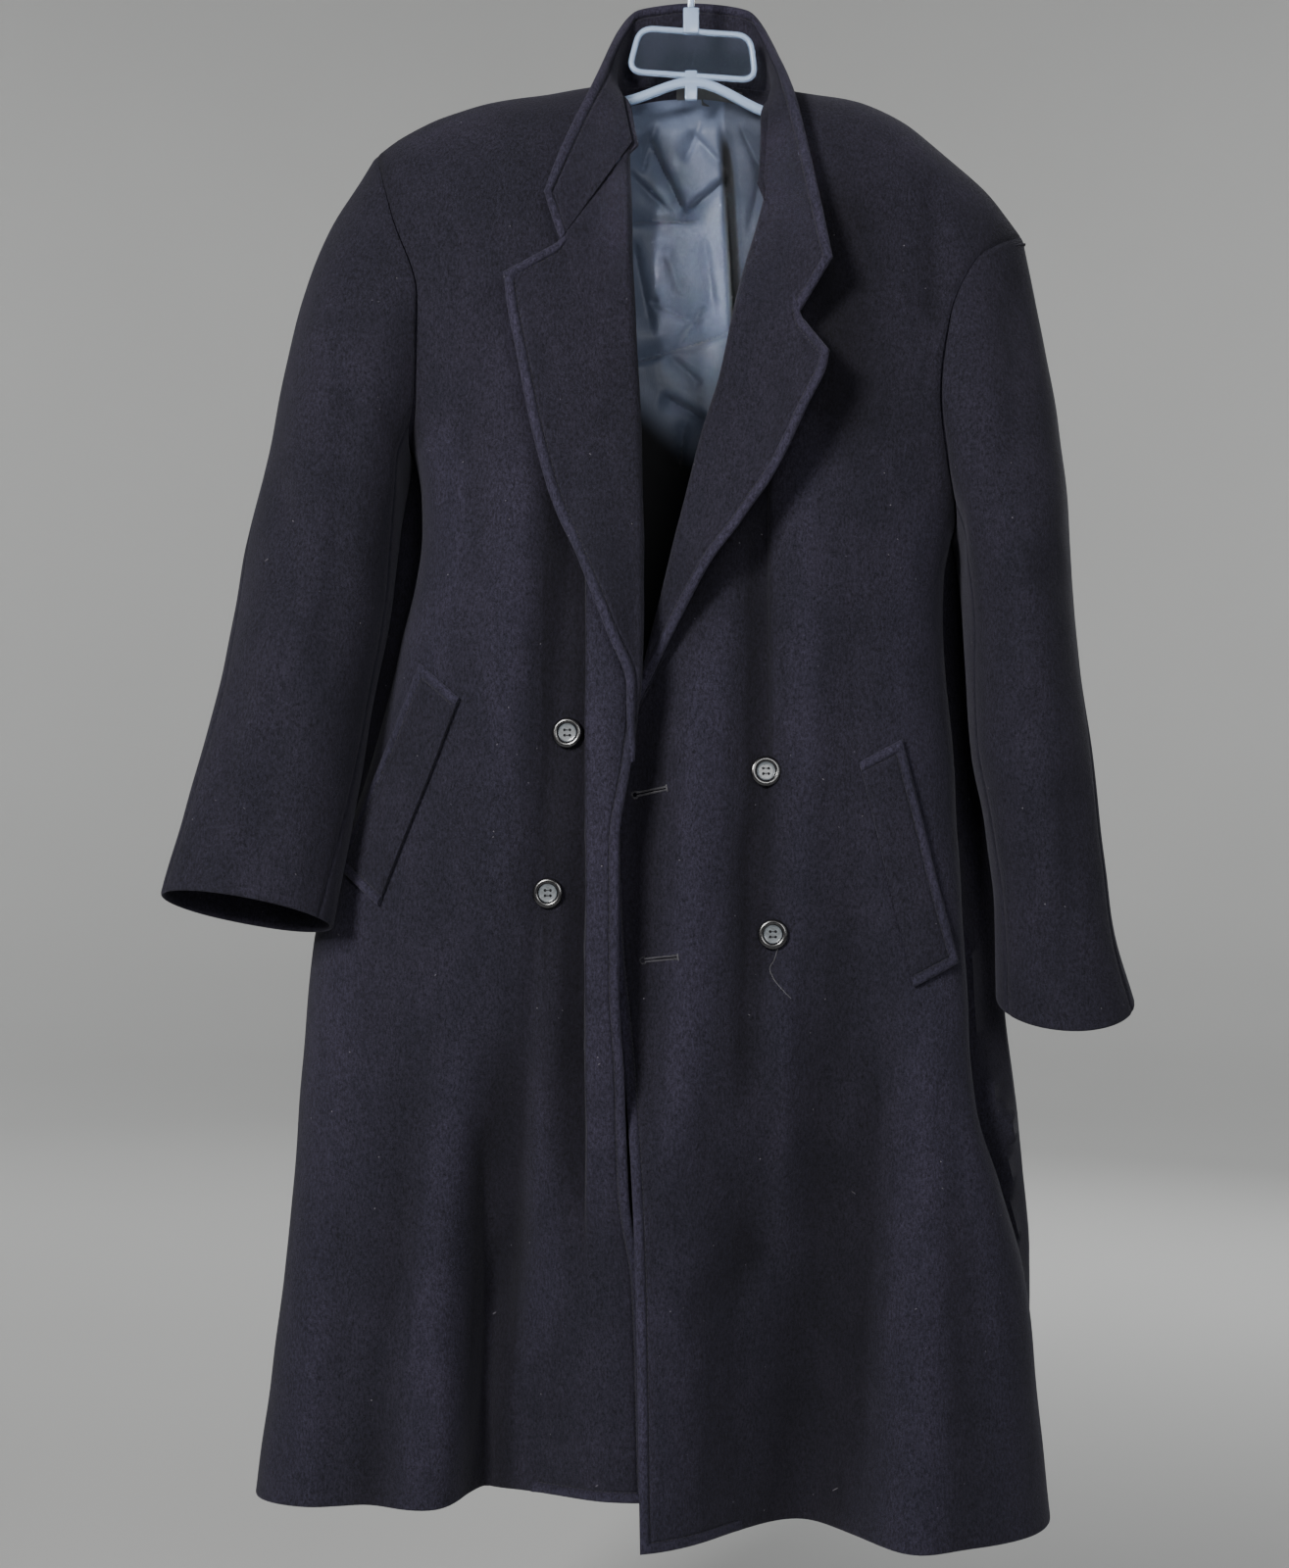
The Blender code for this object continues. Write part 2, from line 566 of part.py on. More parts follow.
def lapel_points(half, place, share):
    """Points of the turned-back leaf: place down its table, share from the roll line to the outer edge."""
    order = np.arange(len(half.leaves), dtype=float)
    at = {name: smooth(order, [getattr(r, name) for r in half.leaves], place) for name in Leaf._fields}
    x = at["roll_x"] + (at["edge_x"] - at["roll_x"]) * share
    z = at["roll_z"] + (at["edge_z"] - at["roll_z"]) * share
    notch = np.minimum(share / NOTCH_AT, (1 - share) / (1 - NOTCH_AT))
    z = z - half.gorge_sag * notch * (1 - ease(place / 2.0))
    clear = LAPEL_CLEAR + DOUBLED + at["lift"] * share**1.4
    return np.stack([x, front_y(half, x, z) - clear, z], axis=-1)


def lapel_sheet(half, columns=LAPEL_COLUMNS, rows=LAPEL_ROWS):
    place = np.linspace(0, len(half.leaves) - 1, rows + 1)
    return lapel_points(half, place[:, None], np.linspace(0, 1, columns + 1)[None, :])


def collar_sheet(stations=COLLAR_STATIONS, rows=COLLAR_ROWS):
    """The turned-up collar, from its outer edge down to its seam: the gorge of each lapel and the neck."""
    order = np.arange(len(COLLAR), dtype=float)
    last = order[-1]
    place = np.linspace(0, last, stations + 1)
    at = {name: smooth(order, [getattr(s, name) for s in COLLAR], place) for name in Station._fields}
    edge = np.stack([at["edge_x"], at["edge_y"], at["edge_z"]], axis=-1)
    base = np.stack([at["base_x"], at["base_y"], at["base_z"]], axis=-1)
    for half, from_end in ((RIGHT, place), (LEFT, last - place)):
        gorge = lapel_points(half, np.zeros_like(place), NOTCH_AT * np.clip(1 - from_end / GORGE_ROWS, 0, 1))
        gorge = gorge + (0, DOUBLED, GORGE_GAP)
        near = (1 - ease((from_end - GORGE_ROWS) / 0.8))[:, None]
        base = base + (gorge - base) * near
    share = np.linspace(0, 1, rows + 1)[:, None, None]
    return edge[None] + (base - edge)[None] * share


def normals(sheet, towards):
    """Unit normals of a sheet of points, on the side that faces the given way."""
    down = np.gradient(sheet, axis=0)
    across = np.gradient(sheet, axis=1)
    found = unit(np.cross(across, down))
    for _ in range(NORMAL_PASSES):
        beside = np.pad(found, ((1, 1), (1, 1), (0, 0)), mode="edge")
        around = beside[2:, 1:-1] + beside[:-2, 1:-1] + beside[1:-1, 2:] + beside[1:-1, :-2]
        found = unit(found + around / 2)
    return found if (found @ np.asarray(towards, float)).mean() > 0 else -found


def meet(first, second):
    """Shares the normals of two edges that meet at a seam, unless they fold back on each other."""
    agree = ease((first * second).sum(axis=-1, keepdims=True) / 0.5)
    both = unit(first + second + 1e-9)
    return unit(first + (both - first) * agree), unit(second + (both - second) * agree)


# Blender objects


def material(name):
    found = bpy.data.materials.get(name)
    if found:
        return found
    colour, roughness, metallic = COLOURS[name]
    found = bpy.data.materials.new(name)
    found.use_nodes = True
    shader = found.node_tree.nodes["Principled BSDF"]
    shader.inputs["Base Color"].default_value = (*colour, 1)
    shader.inputs["Roughness"].default_value = roughness
    shader.inputs["Metallic"].default_value = metallic
    return found


def add(name, mesh, finish):
    """A named piece of the coat, in its collection and under its root."""
    piece = bpy.data.objects.new(name, mesh)
    bpy.data.collections["overcoat"].objects.link(piece)
    piece.parent = bpy.data.objects["overcoat_root"]
    if not mesh.materials:
        mesh.materials.append(material(finish))
    return piece


def cloth_wall(name, sheet, outward, thickness, finish="wool"):
    """A closed wall: the sheet outside, its copy one thickness behind, and the four rims."""
    rows, columns = sheet.shape[:2]
    bm = bmesh.new()
    outer = [[bm.verts.new(point) for point in row] for row in sheet]
    inner = [[bm.verts.new(point) for point in row] for row in sheet - outward * thickness]
    for i in range(rows - 1):
        for j in range(columns - 1):
            for side in (outer, inner):
                bm.faces.new((side[i][j], side[i + 1][j], side[i + 1][j + 1], side[i][j + 1]))
    rim = [(0, j) for j in range(columns)] + [(i, columns - 1) for i in range(1, rows)]
    rim += [(rows - 1, j) for j in range(columns - 2, -1, -1)] + [(i, 0) for i in range(rows - 2, 0, -1)]
    for (i, j), (k, m) in zip(rim, rim[1:] + rim[:1]):
        bm.faces.new((outer[i][j], outer[k][m], inner[k][m], inner[i][j]))
    bmesh.ops.recalc_face_normals(bm, faces=bm.faces)
    bmesh.ops.triangulate(bm, faces=bm.faces, quad_method="FIXED")
    mesh = bpy.data.meshes.new(name)
    bm.to_mesh(mesh)
    bm.free()
    mesh.shade_smooth()
    mesh.set_sharp_from_angle(angle=math.radians(50))
    return add(name, mesh, finish)


def mesh_of(helper):
    """The evaluated mesh of a helper object, placed where the helper stands, with its caps welded."""
    bpy.context.view_layer.update()
    graph = bpy.context.evaluated_depsgraph_get()
    mesh = bpy.data.meshes.new_from_object(helper.evaluated_get(graph))
    mesh.transform(helper.matrix_world)
    bm = bmesh.new()
    bm.from_mesh(mesh)
    bmesh.ops.remove_doubles(bm, verts=bm.verts, dist=0.00001)
    bmesh.ops.recalc_face_normals(bm, faces=bm.faces)
    bm.to_mesh(mesh)
    bm.free()
    bpy.data.objects.remove(helper)
    return mesh


def wire(points, radius, closed=False, sides=2):
    """Mesh of a round bar along points."""
    curve = bpy.data.curves.new("wire", "CURVE")
    curve.dimensions = "3D"
    curve.bevel_depth = radius
    curve.bevel_resolution = sides
    curve.use_fill_caps = not closed
    spline = curve.splines.new("POLY")
    spline.points.add(len(points) - 1)
    for target, point in zip(spline.points, points):
        target.co = (*point, 1)
    spline.use_cyclic_u = closed
    helper = bpy.data.objects.new("wire", curve)
    bpy.context.scene.collection.objects.link(helper)
    return mesh_of(helper)


def block(size, centre):
    bm = bmesh.new()
    bmesh.ops.create_cube(bm, size=1)
    bmesh.ops.scale(bm, vec=size, verts=bm.verts)
    bmesh.ops.translate(bm, vec=centre, verts=bm.verts)
    mesh = bpy.data.meshes.new("block")
    bm.to_mesh(mesh)
    bm.free()
    return mesh


def united(meshes):
    """One mesh from overlapping ones."""
    base = bpy.data.objects.new("united", meshes[0])
    bpy.context.scene.collection.objects.link(base)
    others = []
    for mesh in meshes[1:]:
        other = bpy.data.objects.new("joined", mesh)
        bpy.data.collections["cutters"].objects.link(other)
        join = base.modifiers.new("join", "BOOLEAN")
        join.operation = "UNION"
        join.object = other
        others.append(other)
    mesh = mesh_of(base)
    for other in others:
        bpy.data.objects.remove(other)
    return mesh


# Pieces


def build_body():
    """Fronts, backs and sleeves, with the normals shared where they are sewn together."""
    for half in (RIGHT, LEFT):
        outward = (half.sign, 0, 0)
        front, back = front_sheet(half), back_sheet(half)
        front_n, back_n = normals(front, (0, -1, 0)), normals(back, (0, 1, 0))
        armpit = int(np.argmin(abs(front[:, -1, 2] - half.armhole_front[-1].z)))
        front_n[armpit:, -1], back_n[armpit:, -1] = meet(front_n[armpit:, -1], back_n[armpit:, -1])
        set_shoulder_normals(half, front, front_n)
        set_shoulder_normals(half, back, back_n)
        back_n[:, 0] = unit(back_n[:, 0] * (0, 1, 1))
        upper = sleeve_sheet(half, ELBOW_SEAM_STEP, FOREARM_SEAM_STEP, ELBOW_SEAM_CUFF, FOREARM_SEAM_CUFF)
        under = sleeve_sheet(
            half, FOREARM_SEAM_STEP, ELBOW_SEAM_STEP + 2 * ARMHOLE_ROWS, FOREARM_SEAM_CUFF, ELBOW_SEAM_CUFF + 360
        )
        upper_n = sleeve_normals(half, upper)
        under_n = sleeve_normals(half, under)
        upper_n[:, -1], under_n[:, 0] = meet(upper_n[:, -1], under_n[:, 0])
        upper_n[:, 0], under_n[:, -1] = meet(upper_n[:, 0], under_n[:, -1])
        edge_n = np.concatenate([front_n[:ARMHOLE_ROWS, -1], back_n[ARMHOLE_ROWS:0:-1, -1]])
        follow(upper_n[0], edge_n, ELBOW_SEAM_STEP)
        follow(under_n[0], edge_n, FOREARM_SEAM_STEP)
        trim(upper)
        trim(under)
        cloth_wall(f"{half.name}_front", front, front_n, WOOL)
        cloth_wall(f"{half.name}_back", back, back_n, WOOL)
        cloth_wall(f"{half.name}_upper_sleeve", upper, upper_n, WOOL)
        cloth_wall(f"{half.name}_under_sleeve", under, under_n, WOOL)


def set_shoulder_normals(half, sheet, sheet_n):
    """Both panels end square to the shoulder seam, past the neck point."""
    x = sheet[0, :, 0]
    step = 0.004
    slope = (column(half.shoulder, "x", "z", x + step) - column(half.shoulder, "x", "z", x - step)) / (2 * step)
    square = unit(np.stack([-slope, np.zeros_like(x), np.ones_like(x)], axis=-1))
    on_seam = abs(x) >= abs(half.shoulder[0].x) - 1e-6
    sheet_n[0, on_seam] = square[on_seam]


def sleeve_normals(half, sheet):
    """Normals of a piece of sleeve, away from the middle of its ring."""
    found = normals(sheet, (0, 0, 1))
    last = len(half.rings) - 1
    ring = sleeve_ring(half, last, np.radians(np.arange(0, 360, 30.0)))
    outside = ((sheet[-1] - ring.mean(axis=0)) * found[-1]).sum(axis=-1).mean() > 0
    return found if outside else -found


def follow(ring_n, edge_n, first):
    """Turns the normals of a sleeve's top edge to those of the armhole, except where it folds back under."""
    body = edge_n[np.arange(first, first + len(ring_n)) % len(edge_n)]
    agree = ease((ring_n * body).sum(axis=-1, keepdims=True) / 0.5)
    ring_n[:] = unit(ring_n + (body - ring_n) * agree)


def trim(sheet):
    """Draws both long edges of a sheet back by half a seam."""
    for edge, beside in ((0, 1), (-1, -2)):
        inward = unit(sheet[:, beside] - sheet[:, edge])
        sheet[:, edge] += inward * SEAM / 2


def build_lapels_and_collar():
    for half in (RIGHT, LEFT):
        sheet = lapel_sheet(half)
        sheet_n = normals(sheet, (0, -1, 0))
        sheet_n[0] = (0, -1, 0)
        cloth_wall(f"{half.name}_lapel", sheet, sheet_n, DOUBLED)
    sheet = collar_sheet()
    sheet_n = normals(sheet, (0, 1, 0))
    middle = COLLAR_STATIONS // 2
    sheet_n = sheet_n if sheet_n[0, middle, 1] > 0 else -sheet_n
    in_gorge = abs(middle - np.arange(COLLAR_STATIONS + 1)) / middle > 1 - 2 * GORGE_ROWS / (len(COLLAR) - 1)
    sheet_n[-1, in_gorge] = (0, 1, 0)
    cloth_wall("collar", sheet, sheet_n, DOUBLED)


def build_welts():
    """Pocket welts: parallelograms of the front's own surface, moved out."""
    down = np.linspace(0, 1, WELT_ROWS)[:, None]
    across = np.linspace(0, 1, WELT_COLUMNS)[None, :]
    for half, welt in ((RIGHT, RIGHT_WELT), (LEFT, LEFT_WELT)):
        x = welt.open_top_x + (welt.sewn_top_x - welt.open_top_x) * across + welt.slant_x * down
        z = welt.open_top_z + (welt.sewn_top_z - welt.open_top_z) * across + welt.slant_z * down
        panel = np.stack([x, front_y(half, x, z), z], axis=-1)
        outward = normals(panel, (0, -1, 0))
        sheet = panel + outward * (WELT_CLEAR + WELT)
        cloth_wall(f"{half.name}_pocket_welt", sheet, outward, WELT)


def button_mesh():
    """A turned four-hole button with a raised rim, its back on the plane z = 0."""
    rim_inner = BUTTON_RADIUS - BUTTON_RIM
    dish_z = BUTTON_THICK - BUTTON_DISH
    profile = [
        (0.0, dish_z),
        (rim_inner - 0.0008, dish_z),
        (rim_inner, BUTTON_THICK - 0.0003),
        (BUTTON_RADIUS - 0.0012, BUTTON_THICK),
        (BUTTON_RADIUS, BUTTON_THICK * 0.62),
        (BUTTON_RADIUS * 0.82, 0.0004),
        (BUTTON_RADIUS * 0.60, 0.0),
        (0.0, 0.0),
    ]
    mesh = bpy.data.meshes.new("button_profile")
    mesh.from_pydata([(r, 0, z) for r, z in profile], [(i, i + 1) for i in range(len(profile) - 1)], [])
    helper = bpy.data.objects.new("button_profile", mesh)
    bpy.context.scene.collection.objects.link(helper)
    turned = helper.modifiers.new("turned", "SCREW")
    turned.steps = turned.render_steps = BUTTON_STEPS
    turned.use_merge_vertices = True
    turned.merge_threshold = 0.00005
    bm = bmesh.new()
    for step in range(4):
        angle = math.radians(45 + 90 * step)
        spot = Vector((math.cos(angle), math.sin(angle), 0)) * BUTTON_HOLE_SPREAD * math.sqrt(2) / 1.2
        bmesh.ops.create_cone(
            bm, cap_ends=True, segments=6, radius1=BUTTON_HOLE, radius2=BUTTON_HOLE,
            depth=BUTTON_THICK * 4, matrix=Matrix.Translation(spot),
        )
    cutter_mesh = bpy.data.meshes.new("button_holes")
    bm.to_mesh(cutter_mesh)
    bm.free()
    cutter = bpy.data.objects.new("button_holes", cutter_mesh)
    bpy.data.collections["cutters"].objects.link(cutter)
    holes = helper.modifiers.new("holes", "BOOLEAN")
    holes.operation = "DIFFERENCE"
    holes.object = cutter
    made = mesh_of(helper)
    bpy.data.objects.remove(cutter)
    made.materials.clear()
    made.shade_smooth()
    made.set_sharp_from_angle(angle=math.radians(35))
    return made


def build_buttons():
    mesh = button_mesh()
    reach = BUTTON_RADIUS
    for place in BUTTONS:
        spot_x = np.array([[place.x - reach, place.x + reach]] * 2)
        spot_z = np.array([[place.z + reach] * 2, [place.z - reach] * 2])
        panel = np.stack([spot_x, front_y(place.half, spot_x, spot_z), spot_z], axis=-1)
        outward = Vector(unit(normals(panel, (0, -1, 0)).mean(axis=(0, 1))))
        rest = min(float(front_y(place.half, place.x, place.z)), float(panel[..., 1].mean()))
        button = add(place.name, mesh, "button")
        button.location = Vector((place.x, rest, place.z)) + outward * BUTTON_CLEAR
        button.rotation_euler = outward.to_track_quat("Z", "Y").to_euler()


def inside_sheet():
    """Both backs' own points as one sheet, right armhole to left, and the normals into the coat."""
    right, left = back_sheet(RIGHT), back_sheet(LEFT)
    whole = np.concatenate([right[:, :0:-1], (right[:, :1] + left[:, :1]) / 2, left[:, 1:]], axis=1)
    return whole, normals(whole, (0, -1, 0))


def build_lining():
    """Back lining from the neck facing to just above the hem, the backs' own points moved in."""
    whole, inward = inside_sheet()
    rise = LINING_HEM_RISE / (whole[-2, :, 2] - whole[-1, :, 2]).mean()
    hem = whole[-1] + (whole[-2] - whole[-1]) * rise
    kept = [*range(LINING_FIRST_ROW, ARMHOLE_ROWS + 3), *range(ARMHOLE_ROWS + 4, len(whole) - 1, 2)]
    sheet = np.concatenate([whole[kept], hem[None]])[:, LINING_SIDE:-LINING_SIDE]
    sheet_n = np.concatenate([inward[kept], inward[-1:]])[:, LINING_SIDE:-LINING_SIDE]
    sheet = sheet + sheet_n * (WOOL + LINING_CLEAR + LINING)
    cloth_wall("back_lining", sheet, sheet_n, LINING, "lining")


def build_neck():
    """Facing under the collar seam, its blank label and the loop that hangs from it."""
    whole, inward = inside_sheet()
    middle = BACK_COLUMNS
    near = slice(middle - FACING_COLUMNS, middle + FACING_COLUMNS + 1)
    places = np.array([0.06, 1.0, FACING_FOOT])
    low = np.array([0, 0, 1])
    share = (places - low)[:, None, None]
    sheet = whole[low, near] * (1 - share) + whole[low + 1, near] * share
    sheet_n = unit(inward[low, near] * (1 - share) + inward[low + 1, near] * share)
    sheet = sheet + sheet_n * (WOOL + FACING_CLEAR + FACING)
    cloth_wall("back_neck_facing", sheet, sheet_n, FACING)
    label = neck_strip(np.linspace(*LABEL_SPAN, 7), np.linspace(LABEL_TOP, LABEL_FOOT, 3), LABEL_CLEAR)
    cloth_wall("neck_label", label, normals(label, (0, -1, 0)), LABEL_THICK, "label")
    turns = np.linspace(0, math.pi, 13)
    along = (LOOP_SPAN[0] + LOOP_SPAN[1]) / 2 - (LOOP_SPAN[1] - LOOP_SPAN[0]) / 2 * np.cos(turns)
    cord = neck_strip(along, np.array([LOOP_TOP]), LOOP_CLEAR)[0]
    cord[:, 2] -= LOOP_SAG * np.sin(turns)
    add("hanging_loop", wire(cord.tolist(), LOOP_RADIUS), "wool")


def neck_strip(x, drop, clear):
    """Points inside the back neck, some way in front of the back's outside."""
    x, drop = np.meshgrid(x, drop)
    top_z = np.where(x < 0, neckline(RIGHT, x)[1], neckline(LEFT, x)[1])
    z = top_z - drop
    y = np.where(x < 0, back_y(RIGHT, x, z), back_y(LEFT, x, z))
    strip = np.stack([x, y, z], axis=-1)
    return strip + normals_in_plan(strip) * clear


def normals_in_plan(strip):
    """Level normals of a strip, towards the front."""
    along = np.gradient(strip, axis=1)
    return unit(np.stack([along[..., 1], -along[..., 0], np.zeros(strip.shape[:2])], axis=-1))


def rounded_frame():
    """Points of the hanger's trapezoid frame with round corners, tilted as it hangs."""
    half_top, half_low = FRAME_TOP_WIDTH / 2, FRAME_LOW_WIDTH / 2
    high, low = FRAME_HEIGHT / 2, -FRAME_HEIGHT / 2
    corners = [(half_top, high), (-half_top, high), (-half_low, low), (half_low, low)]
    points = []
    for i, corner in enumerate(corners):
        here = np.array(corner)
        before = unit(np.array(corners[i - 1]) - here) * FRAME_CORNER
        after = unit(np.array(corners[(i + 1) % 4]) - here) * FRAME_CORNER
        for share in np.linspace(0, 1, 5):
            points.append(here + before * (1 - share) ** 2 + after * share**2)
    tilt = math.radians(-FRAME_TILT)
    turn = np.array([[math.cos(tilt), -math.sin(tilt)], [math.sin(tilt), math.cos(tilt)]])
    return [(FRAME_CENTRE_X + p[0], 0.0, FRAME_CENTRE_Z + p[1]) for p in (turn @ q for q in points)]


def plate(points, thickness):
    """A flat plate filling a loop of points in the XZ plane."""
    curve = bpy.data.curves.new("plate", "CURVE")
    curve.dimensions = "2D"
    curve.fill_mode = "BOTH"
    curve.extrude = thickness / 2
    spline = curve.splines.new("POLY")
    spline.points.add(len(points) - 1)
    for target, point in zip(spline.points, points):
        target.co = (point[0], point[2], 0, 1)
    spline.use_cyclic_u = True
    helper = bpy.data.objects.new("plate", curve)
    helper.rotation_euler = (math.pi / 2, 0, 0)
    bpy.context.scene.collection.objects.link(helper)
    return mesh_of(helper)


def build_hanger():
    frame = rounded_frame()
    bow_x = np.linspace(BOW[0].x, BOW[-1].x, BOW_POINTS)
    bow = [(x, 0.0, float(column(BOW, "x", "z", x))) for x in bow_x]
    post = block(
        (POST_WIDTH, POST_DEPTH, POST_TOP_Z - POST_LOW_Z), (0, 0, (POST_TOP_Z + POST_LOW_Z) / 2)
    )
    tab = block((TAB_WIDTH, TAB_DEPTH, TAB_TOP_Z - TAB_LOW_Z), (0, 0, (TAB_TOP_Z + TAB_LOW_Z) / 2))
    meshes = [wire(bow, BOW_WIRE), wire(frame, FRAME_WIRE, closed=True), plate(frame, FRAME_PLATE), post, tab]
    add("hanger", united(meshes), "clear")
    radius = HOOK_INNER + HOOK_WIRE
    arc = [math.radians(angle) for angle in np.linspace(-52, 200, 22)]
    shank = [(0, 0, HOOK_FOOT_Z), (0, 0, -0.062), (0.0015, 0, -0.052), (0.0065, 0, -0.0445)]
    turn = [(radius * math.cos(a), 0, -HOOK_INNER + radius * math.sin(a)) for a in arc]
    add("hanger_hook", wire(shank + turn, HOOK_WIRE), "clear")


def clear_scene():
    for piece in list(bpy.data.objects):
        bpy.data.objects.remove(piece)
    for name in ("overcoat", "cutters"):
        bpy.context.scene.collection.children.link(bpy.data.collections.new(name))
    root = bpy.data.objects.new("overcoat_root", None)
    bpy.data.collections["overcoat"].objects.link(root)


def main():
    clear_scene()
    build_body()
    build_lapels_and_collar()
    build_welts()
    build_buttons()
    build_lining()
    build_neck()
    build_hanger()


main()
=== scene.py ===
"""Looks of a double-breasted wool overcoat, unbuttoned, on its clear hanger.

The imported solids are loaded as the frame. Each cloth piece is made again here from the same tables
of sizes, in a fine grid with turned edges, sewn grooves and creases, and stands for its solid.
Metres, +Z up, the coat's front towards -Y. Right and left are the wearer's.
"""

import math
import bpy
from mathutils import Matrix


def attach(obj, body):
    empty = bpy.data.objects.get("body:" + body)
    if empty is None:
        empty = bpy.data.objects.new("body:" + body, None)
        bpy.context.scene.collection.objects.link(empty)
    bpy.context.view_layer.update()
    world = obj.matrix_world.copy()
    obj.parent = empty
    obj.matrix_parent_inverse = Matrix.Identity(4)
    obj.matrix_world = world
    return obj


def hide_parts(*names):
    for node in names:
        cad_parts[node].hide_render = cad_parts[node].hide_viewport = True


bl_info = {
    "name": "Overcoat on a hanger",
    "version": (1, 0, 0),
    "blender": (4, 5, 0),
    "location": "View3D > Sidebar > Overcoat",
    "description": "Cloth, sewing and finishes of a double-breasted overcoat around its packed solids",
    "category": "Object",
}

from collections import namedtuple

import bmesh
import bpy
import numpy as np
from mathutils import Matrix, Vector

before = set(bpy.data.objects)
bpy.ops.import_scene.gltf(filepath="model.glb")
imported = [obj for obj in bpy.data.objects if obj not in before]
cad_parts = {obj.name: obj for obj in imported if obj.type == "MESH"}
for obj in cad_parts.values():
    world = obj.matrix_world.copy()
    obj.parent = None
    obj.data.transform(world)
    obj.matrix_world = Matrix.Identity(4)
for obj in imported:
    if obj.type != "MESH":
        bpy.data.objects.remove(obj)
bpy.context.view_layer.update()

# Cloth thicknesses and seams
WOOL = 0.003
DOUBLED = 0.005
WELT = 0.004
LINING = 0.001
SEAM = 0.0003
NORMAL_PASSES = 2

# Grid of the pieces: set distances near a finished edge, a seam or a turned hem, even steps between
EDGE_STEPS = (
    0, 0.0003, 0.0008, 0.0016, 0.0028, 0.0044, 0.0060,
    0.0070, 0.0077, 0.0085, 0.0093, 0.0100, 0.0112, 0.0135,
)
SEAM_STEPS = (0, 0.0008, 0.0018, 0.0032, 0.0052)
HEM_STEPS = (0, 0.0003, 0.0008, 0.0016, 0.0030, 0.0055)
PLAIN = (0,)
NOMINAL_WIDTH = 0.27
ARMHOLE_ROWS = 50
SKIRT_ROWS = 130
FRONT_COLUMNS = 104
BACK_COLUMNS = 44
SLEEVE_ROWS = 104
LAPEL_ROWS = 84
LAPEL_COLUMNS = 26
COLLAR_STATIONS = 150
COLLAR_ROWS = 16

# How the shoulder rounds over: depth grows with the drop below the shoulder line
SHOULDER_ROUND = 0.045
SHOULDER_POWER = 0.75

# Plan of the body: where each half is flattest
FRONT_CENTRE_X = -0.020
BACK_CENTRE_X = 0.000

# Back neck
NECK_BACK_Y = 0.044
NECK_BACK_Z = -0.126

Shoulder = namedtuple("Shoulder", "x z")
Edge = namedtuple("Edge", "z x")
Side = namedtuple("Side", "z x y bulge power")
Depth = namedtuple("Depth", "z right left back")
Fold = namedtuple("Fold", "top_z top_x low_z low_x top_depth low_depth inner outer fade")
Ring = namedtuple("Ring", "outer_x outer_z inner_x inner_z mid_y half_depth twist pitch")
Leaf = namedtuple("Leaf", "roll_x roll_z edge_x edge_z lift")
Station = namedtuple("Station", "base_x base_y base_z edge_x edge_y edge_z")
Half = namedtuple(
    "Half",
    "name sign shoulder armhole_front armhole_back side edge folds rings leaves "
    "gorge_sag hem_edge_z hem_side_z",
)


def table(kind, *rows):
    """A table's rows, with their columns named."""
    return [kind(*row) for row in rows]


# Depth of the flat of each front, and of the back, down the coat
DEPTHS = table(
    Depth,
    (-0.140, -0.066, -0.066, 0.056), (-0.330, -0.074, -0.076, 0.074),
    (-0.450, -0.082, -0.083, 0.080), (-0.600, -0.095, -0.085, 0.082),
    (-0.800, -0.098, -0.090, 0.082), (-1.000, -0.092, -0.100, 0.085),
    (-1.300, -0.086, -0.120, 0.090),
)

RIGHT_SHOULDER = table(
    Shoulder,
    (-0.070, -0.138), (-0.124, -0.146), (-0.164, -0.153), (-0.204, -0.165), (-0.236, -0.182),
    (-0.256, -0.196),
)
LEFT_SHOULDER = table(
    Shoulder,
    (0.074, -0.141), (0.132, -0.150), (0.172, -0.168), (0.204, -0.192), (0.240, -0.224),
    (0.270, -0.262),
)

# Armhole edges, from the shoulder point to the armpit
RIGHT_ARMHOLE_FRONT = table(
    Edge,
    (-0.196, -0.256), (-0.256, -0.239), (-0.322, -0.218), (-0.399, -0.220), (-0.441, -0.226),
)
RIGHT_ARMHOLE_BACK = table(
    Edge,
    (-0.196, -0.256), (-0.260, -0.243), (-0.340, -0.235), (-0.400, -0.232), (-0.441, -0.226),
)
LEFT_ARMHOLE_FRONT = table(
    Edge,
    (-0.262, 0.270), (-0.290, 0.226), (-0.339, 0.203), (-0.400, 0.195), (-0.449, 0.201),
    (-0.505, 0.212),
)
LEFT_ARMHOLE_BACK = table(
    Edge,
    (-0.262, 0.270), (-0.325, 0.242), (-0.400, 0.228), (-0.465, 0.221), (-0.505, 0.212),
)

# Sides of the body. Above the armpit they only set how flat the chest is.
# The bulge is how far the back swings out past the side seam.
RIGHT_SIDE = table(
    Side,
    (-0.138, -0.305, 0.000, 0.000, 3.2), (-0.260, -0.286, 0.002, 0.000, 3.2),
    (-0.322, -0.269, 0.004, 0.000, 3.3), (-0.360, -0.257, 0.006, 0.000, 3.4),
    (-0.399, -0.243, 0.008, 0.000, 3.4), (-0.441, -0.226, 0.008, 0.016, 3.4),
    (-0.458, -0.2220, 0.009, 0.020, 3.4), (-0.475, -0.2195, 0.009, 0.030, 3.4),
    (-0.505, -0.2185, 0.010, 0.038, 3.4), (-0.550, -0.224, 0.011, 0.041, 3.3),
    (-0.600, -0.237, 0.012, 0.036, 3.2), (-0.660, -0.252, 0.014, 0.033, 3.0),
    (-0.720, -0.270, 0.016, 0.027, 2.8), (-0.780, -0.292, 0.016, 0.014, 2.8),
    (-0.836, -0.308, 0.014, 0.000, 2.7), (-1.028, -0.324, 0.010, 0.000, 2.6),
    (-1.156, -0.338, 0.008, 0.000, 2.8), (-1.284, -0.355, 0.005, 0.000, 2.8),
)
